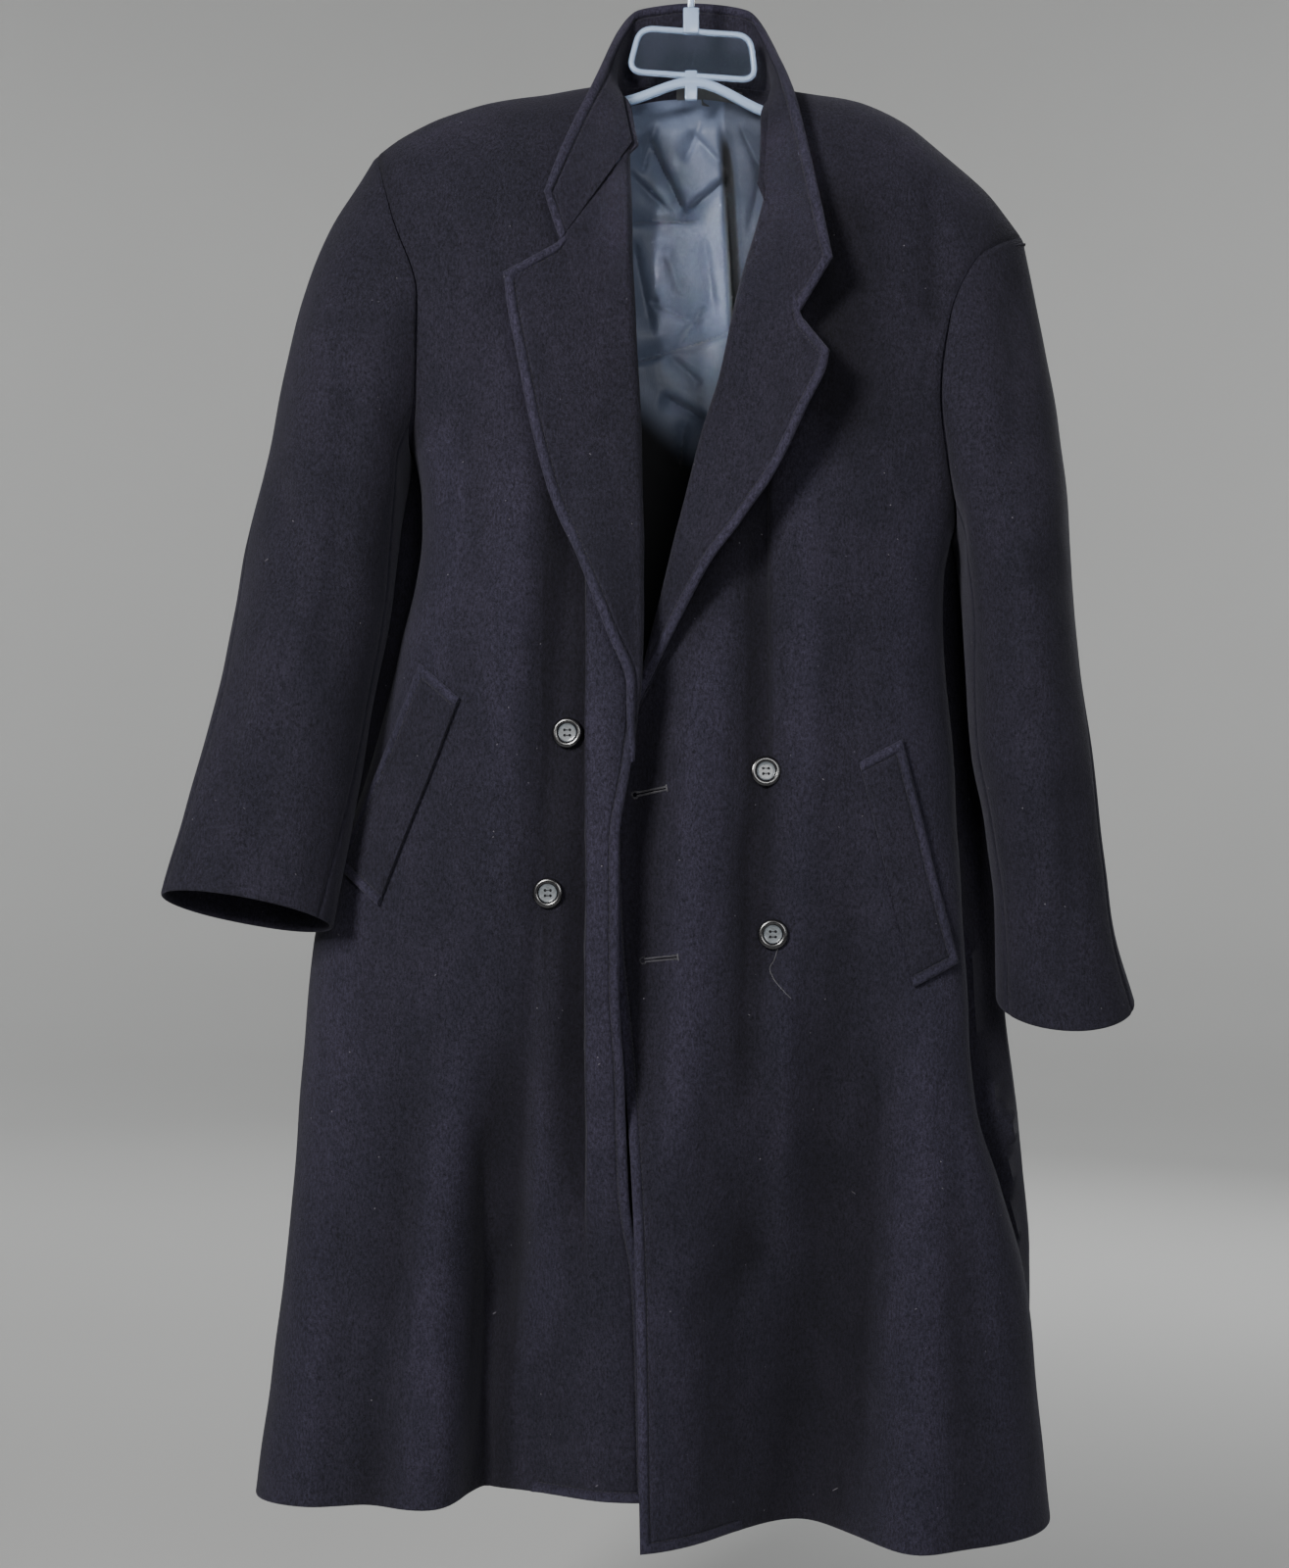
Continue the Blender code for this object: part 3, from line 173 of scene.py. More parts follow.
LEFT_SIDE = table(
    Side,
    (-0.141, 0.305, 0.000, 0.000, 3.2), (-0.262, 0.290, 0.002, 0.000, 3.2),
    (-0.325, 0.276, 0.003, 0.000, 3.2), (-0.372, 0.262, 0.004, 0.000, 3.3),
    (-0.415, 0.247, 0.005, 0.000, 3.4), (-0.460, 0.2295, 0.006, 0.000, 3.4),
    (-0.505, 0.212, 0.005, 0.016, 3.4), (-0.520, 0.2085, 0.006, 0.018, 3.4),
    (-0.540, 0.2055, 0.010, 0.028, 3.4), (-0.575, 0.2045, 0.018, 0.037, 3.4),
    (-0.620, 0.207, 0.020, 0.038, 3.4), (-0.700, 0.213, 0.010, 0.037, 3.5),
    (-0.850, 0.218, -0.022, 0.038, 4.0), (-0.957, 0.225, -0.028, 0.041, 4.0),
    (-1.030, 0.248, -0.010, 0.030, 3.8), (-1.104, 0.270, 0.010, 0.020, 3.4),
    (-1.200, 0.282, 0.018, 0.009, 3.0), (-1.304, 0.293, 0.020, 0.005, 2.8),
)

# Inner edge of each front: neckline, roll line of the lapel, then the front edge to the hem
RIGHT_EDGE = table(
    Edge,
    (-0.138, -0.070), (-0.165, -0.060), (-0.205, -0.049), (-0.286, -0.047), (-0.401, -0.042),
    (-0.524, -0.038), (-0.623, -0.040), (-0.685, -0.047), (-0.754, -0.057), (-0.860, -0.057),
    (-0.935, -0.053), (-1.030, -0.050), (-1.100, -0.040), (-1.270, -0.035),
)
LEFT_EDGE = table(
    Edge,
    (-0.141, 0.074), (-0.175, 0.066), (-0.237, 0.057), (-0.322, 0.035), (-0.439, 0.006),
    (-0.562, -0.025), (-0.623, -0.041), (-0.680, -0.060), (-0.746, -0.065), (-0.823, -0.063),
    (-0.907, -0.056), (-1.000, -0.049), (-1.091, -0.045), (-1.300, -0.041),
)
BACK_SEAM = [Edge(NECK_BACK_Z, 0.002), Edge(-0.600, -0.010), Edge(-1.290, -0.030)]

# Folds: a trough sinks into the coat, a ridge (negative depth) stands out of it
RIGHT_FOLDS = table(
    Fold,
    (-0.480, -0.098, -1.150, -0.152, 0.012, 0.026, 0.016, 0.042, 0.120),
    (-0.900, -0.146, -1.330, -0.165, 0.004, 0.062, 0.075, 0.022, 0.100),
    (-1.000, -0.235, -1.330, -0.262, 0.004, 0.018, 0.026, 0.026, 0.100),
    (-0.560, -0.062, -0.980, -0.066, -0.006, -0.008, 0.016, 0.020, 0.100),
)
LEFT_FOLDS = table(
    Fold,
    (-0.560, -0.036, -0.960, -0.048, 0.016, 0.016, 0.040, 0.034, 0.070),
    (-0.640, 0.006, -1.000, -0.014, -0.010, -0.010, 0.020, 0.020, 0.100),
    (-0.400, 0.052, -0.860, 0.058, 0.010, 0.010, 0.018, 0.026, 0.100),
    (-0.760, 0.124, -1.350, 0.080, 0.006, 0.104, 0.075, 0.055, 0.100),
    (-1.040, 0.168, -1.350, 0.172, -0.004, -0.010, 0.030, 0.030, 0.100),
)
BACK_FOLDS = table(
    Fold,
    (-0.520, -0.150, -1.330, -0.190, 0.003, 0.026, 0.040, 0.034, 0.120),
    (-0.640, -0.050, -1.330, -0.060, -0.003, -0.012, 0.040, 0.040, 0.120),
    (-0.560, 0.110, -1.330, 0.120, 0.003, 0.028, 0.036, 0.040, 0.120),
    (-0.860, 0.190, -1.330, 0.215, -0.002, -0.010, 0.024, 0.024, 0.120),
)

# Sleeve rings: where the outer and the inner edge hang, and how deep and turned the ring is
RIGHT_RINGS = table(
    Ring,
    (-0.256, -0.196, -0.226, -0.441, 0.002, 0.066, 0, 0.00),
    (-0.295, -0.260, -0.231, -0.462, 0.000, 0.078, 0, 0.00),
    (-0.318, -0.324, -0.234, -0.487, -0.004, 0.083, 4, 0.00),
    (-0.332, -0.388, -0.237, -0.518, -0.010, 0.084, 8, 0.00),
    (-0.343, -0.452, -0.241, -0.552, -0.018, 0.083, 11, 0.00),
    (-0.356, -0.516, -0.246, -0.593, -0.028, 0.080, 13, 0.00),
    (-0.366, -0.580, -0.254, -0.641, -0.040, 0.074, 14, 0.02),
    (-0.3805, -0.660, -0.263, -0.705, -0.056, 0.063, 12, 0.08),
    (-0.399, -0.739, -0.272, -0.766, -0.076, 0.053, 6, 0.18),
    (-0.414, -0.796, -0.280, -0.819, -0.088, 0.043, 0, 0.33),
)
LEFT_RINGS = table(
    Ring,
    (0.270, -0.262, 0.212, -0.505, 0.002, 0.066, 0, 0.00),
    (0.281, -0.316, 0.217, -0.525, 0.000, 0.078, 0, 0.00),
    (0.288, -0.360, 0.219, -0.550, -0.003, 0.084, 3, 0.00),
    (0.297, -0.420, 0.221, -0.580, -0.008, 0.087, 5, 0.00),
    (0.304, -0.484, 0.222, -0.612, -0.014, 0.087, 7, 0.00),
    (0.3065, -0.548, 0.223, -0.643, -0.020, 0.084, 9, 0.00),
    (0.311, -0.612, 0.226, -0.687, -0.027, 0.078, 10, 0.00),
    (0.320, -0.688, 0.235, -0.745, -0.034, 0.070, 9, -0.04),
    (0.3275, -0.763, 0.241, -0.803, -0.040, 0.060, 6, -0.12),
    (0.337, -0.833, 0.242, -0.850, -0.044, 0.052, 4, -0.25),
    (0.351, -0.880, 0.242, -0.882, -0.046, 0.046, 2, -0.42),
)
HEAD_ROWS = 4.0
# How much flatter the sleeve is where it hangs against the back, and from which rings
PRESSED, PRESSED_ROWS = 0.22, (0.0, 2.0, 5.0, 8.0)

# Lapels: the roll line, the outer edge and how far the edge stands off the front
RIGHT_LEAVES = table(
    Leaf,
    (-0.049, -0.205, -0.147, -0.311, 0.020), (-0.047, -0.286, -0.144, -0.336, 0.020),
    (-0.045, -0.347, -0.136, -0.377, 0.020), (-0.042, -0.401, -0.126, -0.427, 0.020),
    (-0.040, -0.462, -0.112, -0.480, 0.018), (-0.038, -0.524, -0.089, -0.537, 0.014),
    (-0.038, -0.570, -0.068, -0.586, 0.009), (-0.040, -0.623, -0.050, -0.632, 0.003),
)
LEFT_LEAVES = table(
    Leaf,
    (0.057, -0.237, 0.101, -0.376, 0.040), (0.047, -0.275, 0.098, -0.391, 0.042),
    (0.035, -0.322, 0.083, -0.422, 0.042), (0.021, -0.385, 0.062, -0.464, 0.038),
    (0.005, -0.439, 0.037, -0.503, 0.030), (-0.011, -0.500, 0.011, -0.537, 0.020),
    (-0.026, -0.562, -0.010, -0.575, 0.010), (-0.042, -0.626, -0.036, -0.628, 0.003),
)
LAPEL_CLEAR = 0.0060
NOTCH_AT = 4 / 7
GORGE_ROWS, GORGE_GAP = 2.0, 0.0018

# Collar, turned up: its seam and its outer edge, from the right end round the neck to the left
COLLAR = table(
    Station,
    (-0.104, -0.087, -0.2830, -0.117, -0.089, -0.247),
    (-0.078, -0.076, -0.2450, -0.106, -0.083, -0.216),
    (-0.052, -0.064, -0.2020, -0.094, -0.071, -0.187),
    (-0.057, -0.047, -0.1660, -0.081, -0.054, -0.155),
    (-0.067, 0.004, -0.1375, -0.059, 0.018, -0.085),
    (-0.047, 0.034, -0.1322, -0.048, 0.042, -0.065),
    (0.002, 0.0455, -0.1268, 0.001, 0.050, -0.055),
    (0.050, 0.036, -0.1337, 0.050, 0.042, -0.064),
    (0.071, 0.004, -0.1402, 0.067, 0.016, -0.096),
    (0.062, -0.050, -0.1770, 0.083, -0.055, -0.164),
    (0.060, -0.068, -0.2360, 0.094, -0.082, -0.225),
    (0.070, -0.092, -0.2900, 0.102, -0.102, -0.272),
    (0.083, -0.107, -0.3450, 0.107, -0.116, -0.304),
)

RIGHT = Half(
    "right", -1, RIGHT_SHOULDER, RIGHT_ARMHOLE_FRONT, RIGHT_ARMHOLE_BACK, RIGHT_SIDE,
    RIGHT_EDGE, RIGHT_FOLDS, RIGHT_RINGS, RIGHT_LEAVES, 0.020, -1.270, -1.284,
)
LEFT = Half(
    "left", 1, LEFT_SHOULDER, LEFT_ARMHOLE_FRONT, LEFT_ARMHOLE_BACK, LEFT_SIDE,
    LEFT_EDGE, LEFT_FOLDS, LEFT_RINGS, LEFT_LEAVES, 0.030, -1.300, -1.304,
)
BACK_HEM_Z = -1.290
SWING_REACH = 4.0

# Pocket welts: the upper corners of the open and of the sewn edge, and how both slant down the front
Welt = namedtuple("Welt", "open_top_x open_top_z sewn_top_x sewn_top_z slant_x slant_z")
RIGHT_WELT = Welt(-0.213, -0.613, -0.181, -0.641, -0.065, -0.163)
LEFT_WELT = Welt(0.163, -0.673, 0.130, -0.691, 0.043, -0.176)
# Buttons: places on the fronts
Place = namedtuple("Place", "name half x z")
BUTTONS = [
    Place("right_upper_button", RIGHT, -0.098, -0.668),
    Place("right_lower_button", RIGHT, -0.113, -0.793),
    Place("left_upper_button", LEFT, 0.057, -0.698),
    Place("left_lower_button", LEFT, 0.063, -0.826),
]

# The lapels run on below the solids' ends, narrowing into the front edge
RIGHT_TURN = [Leaf(-0.0435, -0.655, -0.0500, -0.664, 0.001), Leaf(-0.0475, -0.690, -0.0490, -0.692, 0.0)]
LEFT_TURN = [Leaf(-0.0500, -0.650, -0.0460, -0.652, 0.001), Leaf(-0.0580, -0.674, -0.0570, -0.675, 0.0)]
TURN_FADE = 2.2
TAIL = (0.014, 0.007)
ROLL_WALL = 0.002
ROLL_TURNS = 11
# How far the front's edge is drawn in under the roll, and how soon at its foot and its top
ROLL_HIDES, ROLL_BELOW, ROLL_FOOT, ROLL_TOP = 0.012, 0.02, 0.06, 0.03
# Least gap under a lapel, and how its edge curves away from the front
LAPEL_REST, LAPEL_CURVE = 0.0006, 1.4

# Fine creases seen in the front view, added to the folds: a sharpness of 1 is a pressed line, 2 is soft
Crease = namedtuple("Crease", "top_x top_z low_x low_z depth inner outer sharp")
RIGHT_CREASES = table(
    Crease,
    (-0.084, -0.400, -0.084, -1.110, -0.0140, 0.060, 0.0003, 1.6),
    (-0.084, -0.400, -0.084, -1.110, 0.0160, 0.0003, 0.021, 2.0),
    (-0.138, -0.420, -0.138, -1.100, -0.0090, 0.022, 0.034, 2.0),
    (-0.166, -0.940, -0.167, -1.340, 0.0120, 0.010, 0.014, 1.3),
    (-0.150, -1.060, -0.188, -1.340, 0.0080, 0.010, 0.014, 1.4),
    (-0.118, -0.270, -0.098, -0.540, 0.0060, 0.014, 0.020, 1.8),
    (-0.215, -0.880, -0.240, -1.180, 0.0070, 0.026, 0.026, 2.0),
    (-0.190, -0.330, -0.165, -0.560, 0.0035, 0.026, 0.026, 2.0),
    (-0.275, -1.000, -0.290, -1.330, 0.0060, 0.018, 0.018, 1.8),
)
LEFT_CREASES = table(
    Crease,
    (0.0585, -0.400, 0.0585, -0.760, 0.0080, 0.028, 0.0020, 1.3),
    (0.189, -0.215, 0.190, -0.365, 0.0060, 0.012, 0.010, 1.6),
    (0.044, -0.700, 0.040, -0.980, 0.0080, 0.014, 0.018, 1.5),
    (-0.010, -1.140, 0.072, -1.060, 0.0060, 0.024, 0.024, 1.8),
    (0.128, -0.540, 0.105, -0.880, 0.0065, 0.024, 0.030, 2.0),
    (0.150, -0.860, 0.128, -1.340, 0.0090, 0.018, 0.022, 1.6),
    (0.040, -0.980, 0.020, -1.340, 0.0070, 0.030, 0.022, 1.8),
    (0.074, -0.800, 0.074, -1.120, -0.0060, 0.014, 0.016, 1.8),
    (0.205, -0.860, 0.220, -1.300, 0.0080, 0.020, 0.024, 1.8),
)
RIGHT_SLEEVE_CREASES = table(
    Crease,
    (-0.262, -0.340, -0.285, -0.660, 0.0055, 0.016, 0.020, 1.9),
    (-0.330, -0.450, -0.300, -0.580, 0.0045, 0.014, 0.014, 1.8),
    (-0.310, -0.620, -0.345, -0.800, 0.0050, 0.018, 0.018, 1.9),
    (-0.345, -0.600, -0.375, -0.770, 0.0040, 0.014, 0.014, 2.0),
)
LEFT_SLEEVE_CREASES = table(
    Crease,
    (0.290, -0.516, 0.214, -0.612, 0.0050, 0.018, 0.026, 1.8),
    (0.276, -0.640, 0.230, -0.690, 0.0045, 0.012, 0.018, 1.8),
    (0.262, -0.280, 0.250, -0.490, 0.0050, 0.016, 0.016, 1.9),
    (0.300, -0.680, 0.285, -0.880, 0.0055, 0.018, 0.018, 1.9),
    (0.255, -0.700, 0.268, -0.870, 0.0045, 0.014, 0.014, 1.9),
)
# Creases of the lining where it shows in the open neck, and the ease pleat beside them
LINING_CREASES = table(
    Crease,
    (-0.041, -0.160, 0.000, -0.236, 0.0105, 0.0022, 0.012, 1.1),
    (0.036, -0.196, -0.012, -0.236, 0.0095, 0.0024, 0.011, 1.1),
    (-0.060, -0.236, 0.016, -0.234, 0.0095, 0.011, 0.0022, 1.1),
    (-0.060, -0.190, -0.014, -0.230, 0.0060, 0.0024, 0.009, 1.2),
    (-0.004, -0.158, 0.036, -0.196, 0.0055, 0.0024, 0.010, 1.2),
    (-0.030, -0.150, -0.044, -0.200, 0.0050, 0.0030, 0.008, 1.2),
    (0.012, -0.150, -0.006, -0.190, 0.0045, 0.0060, 0.0022, 1.2),
    (0.046, -0.150, 0.072, -0.215, 0.0060, 0.0030, 0.009, 1.2),
    (0.074, -0.160, 0.048, -0.250, 0.0050, 0.0030, 0.008, 1.2),
    (-0.060, -0.356, 0.044, -0.324, 0.0105, 0.012, 0.0024, 1.1),
    (0.014, -0.304, -0.010, -0.342, 0.0090, 0.0022, 0.008, 1.1),
    (-0.036, -0.300, 0.006, -0.320, 0.0075, 0.008, 0.0024, 1.1),
    (-0.026, -0.378, 0.020, -0.404, 0.0090, 0.0024, 0.010, 1.1),
    (-0.002, -0.396, -0.012, -0.452, 0.0080, 0.0030, 0.007, 1.2),
    (-0.050, -0.245, -0.030, -0.335, 0.0070, 0.0035, 0.013, 1.3),
    (0.012, -0.245, 0.022, -0.318, 0.0050, 0.009, 0.0030, 1.3),
    (-0.022, -0.255, -0.006, -0.300, 0.0035, 0.006, 0.006, 1.5),
    (-0.020, -0.345, 0.012, -0.372, 0.0055, 0.0024, 0.008, 1.2),
)
PLEAT = Crease(0.029, -0.140, 0.042, -0.380, 0.0120, 0.0040, 0.0065, 2.4)

# Loose ripples of the cloth: how many waves, how high and how long they are
RIPPLE_SEED, RIPPLE_WAVES, RIPPLE_HEIGHT, RIPPLE_LENGTHS = 7, 14, 0.00022, (0.030, 0.130)
RIPPLE_WAY = (1.0, 0.6, 0.55)

# Seams of the two-piece sleeve, as degrees round the ring from its outer edge towards the front
ELBOW_SEAM, FOREARM_SEAM = (-18.0, 22.0), (144.0, 152.0)

# Seam allowance inside the armhole: from the body side to the sleeve side of the seam
ALLOWANCE_SPAN, ALLOWANCE_CLEAR = (-0.012, 0.003), 0.0048
# Cloth inside the neck seam, between the fronts and the foot of the collar
NECK_ALLOWANCE_Z = {"right": (-0.1385, -0.212), "left": (-0.1415, -0.250)}
NECK_ALLOWANCE_SPAN, NECK_ALLOWANCE, NECK_ALLOWANCE_CLEAR = (-0.10, 1.45), 0.0015, 0.0012

# Welts, neck, buttons and hanger
WELT_LIFT, WELT_ROWS, WELT_COLUMNS = 0.0058, 34, 8
FACING, FACING_CLEAR, LINING_CLEAR, LINING_HEM_RISE = 0.0012, 0.0006, 0.0045, 0.030
LABEL_SPAN, LABEL_TOP, LABEL_FOOT = (-0.012, 0.046), 0.003, 0.013
LABEL_THICK, LABEL_CLEAR = 0.0008, 0.0085
LOOP_SPAN, LOOP_TOP, LOOP_SAG, LOOP_CLEAR = (0.010, 0.050), 0.014, 0.007, 0.0110
BUTTON_RADIUS, BUTTON_THICK, BUTTON_CLEAR, BUTTON_REST = 0.0120, 0.0042, 0.0016, 0.7
HOLE_RADIUS, HOLE_SPREAD, STRAND_RADIUS, SHANK_RADIUS = 0.0011, 0.0021, 0.00018, 0.0021
HOOK_WIRE, HOOK_INNER, HOOK_ARC = 0.00275, 0.020, (-52, 200)
HOOK_SHANK = [(0, 0, -0.0745), (0, 0, -0.062), (0.0015, 0, -0.052), (0.0065, 0, -0.0445)]
FRAME_TOP_WIDTH, FRAME_LOW_WIDTH, FRAME_HEIGHT, FRAME_CORNER = 0.090, 0.104, 0.036, 0.012
FRAME_CENTRE_Z, FRAME_CENTRE_X, FRAME_TILT = -0.112, 0.002, 4.0
FRAME_WIRE, FRAME_PLATE, BOW_WIRE = 0.0026, 0.0014, 0.0042
BOW = table(
    Shoulder,
    (-0.240, -0.198), (-0.190, -0.178), (-0.124, -0.165), (-0.050, -0.150), (0.001, -0.135),
    (0.062, -0.160), (0.132, -0.178), (0.190, -0.202), (0.248, -0.253),
)

# Buttonholes of the left front: the eye near the edge, then the bar. A thread end hangs from a button.
Hole = namedtuple("Hole", "eye_x eye_z bar_x bar_z")
BUTTONHOLES = [Hole(-0.0455, -0.7165, -0.0205, -0.7112), Hole(-0.0391, -0.8463, -0.0120, -0.8425)]
LOOSE_THREAD = [
    (0.067, -0.836), (0.064, -0.846), (0.0605, -0.853), (0.0635, -0.861), (0.070, -0.869), (0.0765, -0.876),
]

# Camera, on a level line through the coat's middle
CAMERA_AT = (-0.038, -1.9, -0.708)
CAMERA_LENS = 53.4375

# Columns of the sleeve's two pieces
UPPER_COLUMNS, UNDER_COLUMNS = 40, 32
# Facing behind the front edge, and inside the back neck
FACING_WIDTH = 0.10
FACING_SPAN, FACING_DROP = (-0.066, 0.070), 0.016
# Lining: its top, how loose it hangs, how far it stops short of the sides, and its grid
LINING_TOP_Z, LINING_SLACK, LINING_SIDE, LINING_STEP = -0.134, 0.017, 0.035, 0.0016
LINING_SIDES, LINING_EASE, LINING_LOW_ROWS = 13, 12, 60
LINING_FINE_X, LINING_FINE_Z = (-0.070, 0.090), -0.50
# Where the lining hangs loose: between which sides, down to where, and how soon it settles there
LOOSE_X, LOOSE_FOOT_Z, LOOSE_EDGE, LOOSE_FADE = (-0.085, 0.100), -0.60, 0.03, 0.12
# Shade on the lining: beyond the pleat, in it, and below a slanted line across the opening
BEYOND_SHADE, BEYOND_EDGE, PLEAT_SHADE = 0.55, 0.003, 1.5
SHADE_Z, SHADE_SLANT, SHADE_EDGE = -0.408, 0.9, 0.04
LOOP_WIDTH, LOOP_THICK = 0.005, 0.0015
# Sewing: how an edge rounds off, half widths of a groove and a seam, reach of the painted edge highlight
EDGE_TURN, EDGE_FALL, GROOVE_HALF, SEAM_HALF, HIGHLIGHT_REACH = 0.8, 0.45, 0.0010, 0.0022, 1.2
# Added to an edge's distance where it has no stitching, over how far it grows, and how true a line is kept
STITCH_OFF, STITCH_FADE, STITCH_SLIP = 0.05, 0.02, 0.0003
# Buttonholes: the eye, the slit and the stitches round them
EYE_RADIUS, SLIT_HALF, PURL_PITCH, PURL_OFF, PURL_HALF = 0.0016, 0.0004, 0.00055, 0.0012, 0.0009
SLIT_CLEAR, SLIT_THICK, TWIST_RADIUS, LOOSE_RADIUS, LOOSE_CLEAR = 0.00025, 0.0004, 0.00024, 0.00032, 0.0006
# The short bar on the right front's edge
EDGE_BAR, EDGE_BAR_HALF, EDGE_BAR_RADIUS, BAR_STEP = (-0.0624, -0.684), 0.0024, 0.00022, 0.0004
BUTTON_DISH_Z = 0.0025
BUTTON_PROFILE = [
    (0.0, BUTTON_DISH_Z), (0.0050, 0.0026), (0.0068, 0.0028), (0.0075, 0.0033),
    (0.0083, 0.0040), (0.0096, 0.0042), (0.0112, 0.0037), (0.0120, 0.0026),
    (0.0113, 0.0010), (0.0086, 0.0002), (0.0060, 0.0), (0.0, 0.0),
]
# Blocks of the hanger: size and middle of the post under the hook and of the tab below the frame
POST = ((0.013, 0.008, 0.021), (0, 0, -0.0855))
TAB = ((0.010, 0.006, 0.024), (0, 0, -0.138))

# Stage: the floor's height, then radius and rise of each ring, and the lamps
STAGE_FLOOR, STAGE_SIDES = -1.60, 96
STAGE_PROFILE = [(4.5, 0.0), (5.2, 0.06), (5.8, 0.25), (6.3, 0.65), (6.6, 1.3), (6.7, 2.2), (6.7, 4.5)]
Lamp = namedtuple("Lamp", "name place aim size power colour spread")
LAMPS = [
    Lamp("key", (-1.30, -2.40, 0.28), (-0.04, 0, -0.62), 0.60, 122, (1.0, 0.98, 0.96), 180),
    Lamp("front", (0.42, -3.0, 0.02), (0.02, 0, -0.55), 0.9, 38, (1.0, 0.99, 0.98), 180),
    Lamp("neck", (-0.42, -2.4, 0.62), (0.016, 0, -0.262), 0.07, 0.095, (0.95, 0.98, 1.0), 4.5),
    Lamp("fill", (1.7, -2.4, 0.1), (0, 0, -0.8), 2.0, 11, (0.95, 0.97, 1.0), 180),
    Lamp("overhead", (0, 0.3, 2.6), (0, 0, -0.7), 3.0, 8, (1, 1, 1), 180),
    Lamp("back", (1.3, 2.6, 0.5), (0, 0, -0.7), 1.6, 48, (1, 1, 1), 180),
    Lamp("wall_left", (-2.6, 2.2, 1.4), (-1.5, 6.5, -0.6), 1.6, 86, (1, 1, 1), 180),
    Lamp("wall_right", (2.6, 2.2, 1.4), (1.5, 6.5, -0.6), 1.6, 86, (1, 1, 1), 180),
]
WORLD_LIGHT, WORLD_COLOUR = 0.03, (0.8, 0.82, 0.86, 1)

CREASES = {"right": RIGHT_CREASES, "left": LEFT_CREASES}
# The lapels lie over the creases without taking their sharp lines
LAPEL_CREASES = {"right": [Crease(-0.084, -0.400, -0.084, -1.110, -0.0140, 0.060, 0.060, 1.6)], "left": []}
# Painted shade on the fronts, beside the raised strip and in the lapel's shadow: how dark takes the place of
# the depth
PAINTED_SHADOWS = {
    "right": [Crease(-0.084, -0.380, -0.084, -1.130, 0.75, 0.0012, 0.030, 2.0)],
    "left": [
        Crease(0.104, -0.200, 0.112, -0.470, 0.85, 0.030, 0.042, 2.0),
        Crease(0.086, -0.360, -0.020, -0.620, 0.70, 0.030, 0.022, 2.0),
    ],
}
# Folds of the fronts: how far round a place counts, the difference that counts in full, the painted shade in
# the hollows and the painted highlight on the ridges
FOLD_REACH, FOLD_RANGE, HOLLOW_SHADE, RIDGE_HIGHLIGHT = (-0.034, -0.018, 0.018, 0.034), 0.0085, 0.62, 0.42


def smooth(keys, values, at):
    """Values at the keys asked for, on a smooth curve through the table that never overshoots it."""
    order = np.argsort(keys)
    keys, values = np.asarray(keys, float)[order], np.asarray(values, float)[order]
    step = np.diff(keys)
    rise = np.diff(values) / step
    slope = np.concatenate([rise[:1], np.zeros(len(keys) - 2), rise[-1:]])
    turning = rise[:-1] * rise[1:] > 0
    slope[1:-1][turning] = 2 / (1 / rise[:-1][turning] + 1 / rise[1:][turning])
    at = np.clip(at, keys[0], keys[-1])
    low = np.clip(np.searchsorted(keys, at) - 1, 0, len(step) - 1)
    share = (at - keys[low]) / step[low]
    back = 1 - share
    return (
        values[low] * (1 + 2 * share) * back**2
        + slope[low] * step[low] * share * back**2
        + values[low + 1] * share**2 * (3 - 2 * share)
        - slope[low + 1] * step[low] * share**2 * back
    )


def column(rows, key, value, at):
    """A table's value column read at places along its key column."""
    return smooth([getattr(row, key) for row in rows], [getattr(row, value) for row in rows], at)


def row_at(rows, place):
    """Every column of a table, read at places between its rows."""
    order = np.arange(len(rows), dtype=float)
    return {name: smooth(order, [getattr(row, name) for row in rows], place) for name in rows[0]._fields}


def ease(share):
    """0 to 1 with level ends."""
    share = np.clip(share, 0, 1)
    return share * share * (3 - 2 * share)


def unit(vectors):
    return vectors / np.linalg.norm(vectors, axis=-1, keepdims=True)


# The body's surface, as depth over each place in the front view


def fold_depth(folds, x, z):
    """How far the cloth sinks at each place. A fold's inner side is the one towards the coat's middle."""
    total = np.zeros(np.broadcast(x, z).shape)
    for fold in folds:
        along = (fold.top_z - z) / (fold.top_z - fold.low_z)
        centre = fold.top_x + (fold.low_x - fold.top_x) * along
        depth = fold.top_depth + (fold.low_depth - fold.top_depth) * along
        outward = (x - centre) * np.sign(centre)
        width = np.where(outward > 0, fold.outer, fold.inner)
        ends = ease((fold.top_z - z) / fold.fade + 0.5) * ease((z - fold.low_z) / fold.fade + 0.5)
        total = total + depth * ends * np.exp(-((outward / width) ** 2))
    return total


def over_shoulder(drop):
    """Share of the full depth reached at a drop below the shoulder line."""
    return (1 - np.exp(-np.maximum(drop, 0) / SHOULDER_ROUND)) ** SHOULDER_POWER


def round_plan(half, x, z, centre_x, flat_y):
    """Depth of a rounded-off box in plan, and how near to its side each place is."""
    end_x = column(half.side, "z", "x", z)
    side_y = column(half.side, "z", "y", z)
    power = column(half.side, "z", "power", z)
    reach = np.clip((x - centre_x) / (end_x - centre_x), 0, 1)
    return side_y + (flat_y - side_y) * (1 - reach**power) ** (1 / power), reach


def front_y(half, x, z, creases=CREASES):
    flat = column(DEPTHS, "z", half.name, z)
    y, reach = round_plan(half, x, z, FRONT_CENTRE_X, flat)
    sunk = fold_depth(half.folds, x, z) + crease_depth(creases[half.name], x, z)
    y = y + sunk * (1 - reach**8)
    return y * over_shoulder(column(half.shoulder, "x", "z", x) - z) - SEAM / 2


def neckline(half, x):
    """Depth and height of the top edge of the back: the back neck, then the shoulder seam."""
    neck = half.shoulder[0]
    across = np.clip(x / neck.x, 0, 1)
    top_y = NECK_BACK_Y * np.sqrt(1 - across**2)
    in_neck_z = neck.z + (NECK_BACK_Z - neck.z) * (1 - across**2)
    return top_y, np.where(across < 1, in_neck_z, column(half.shoulder, "x", "z", x))


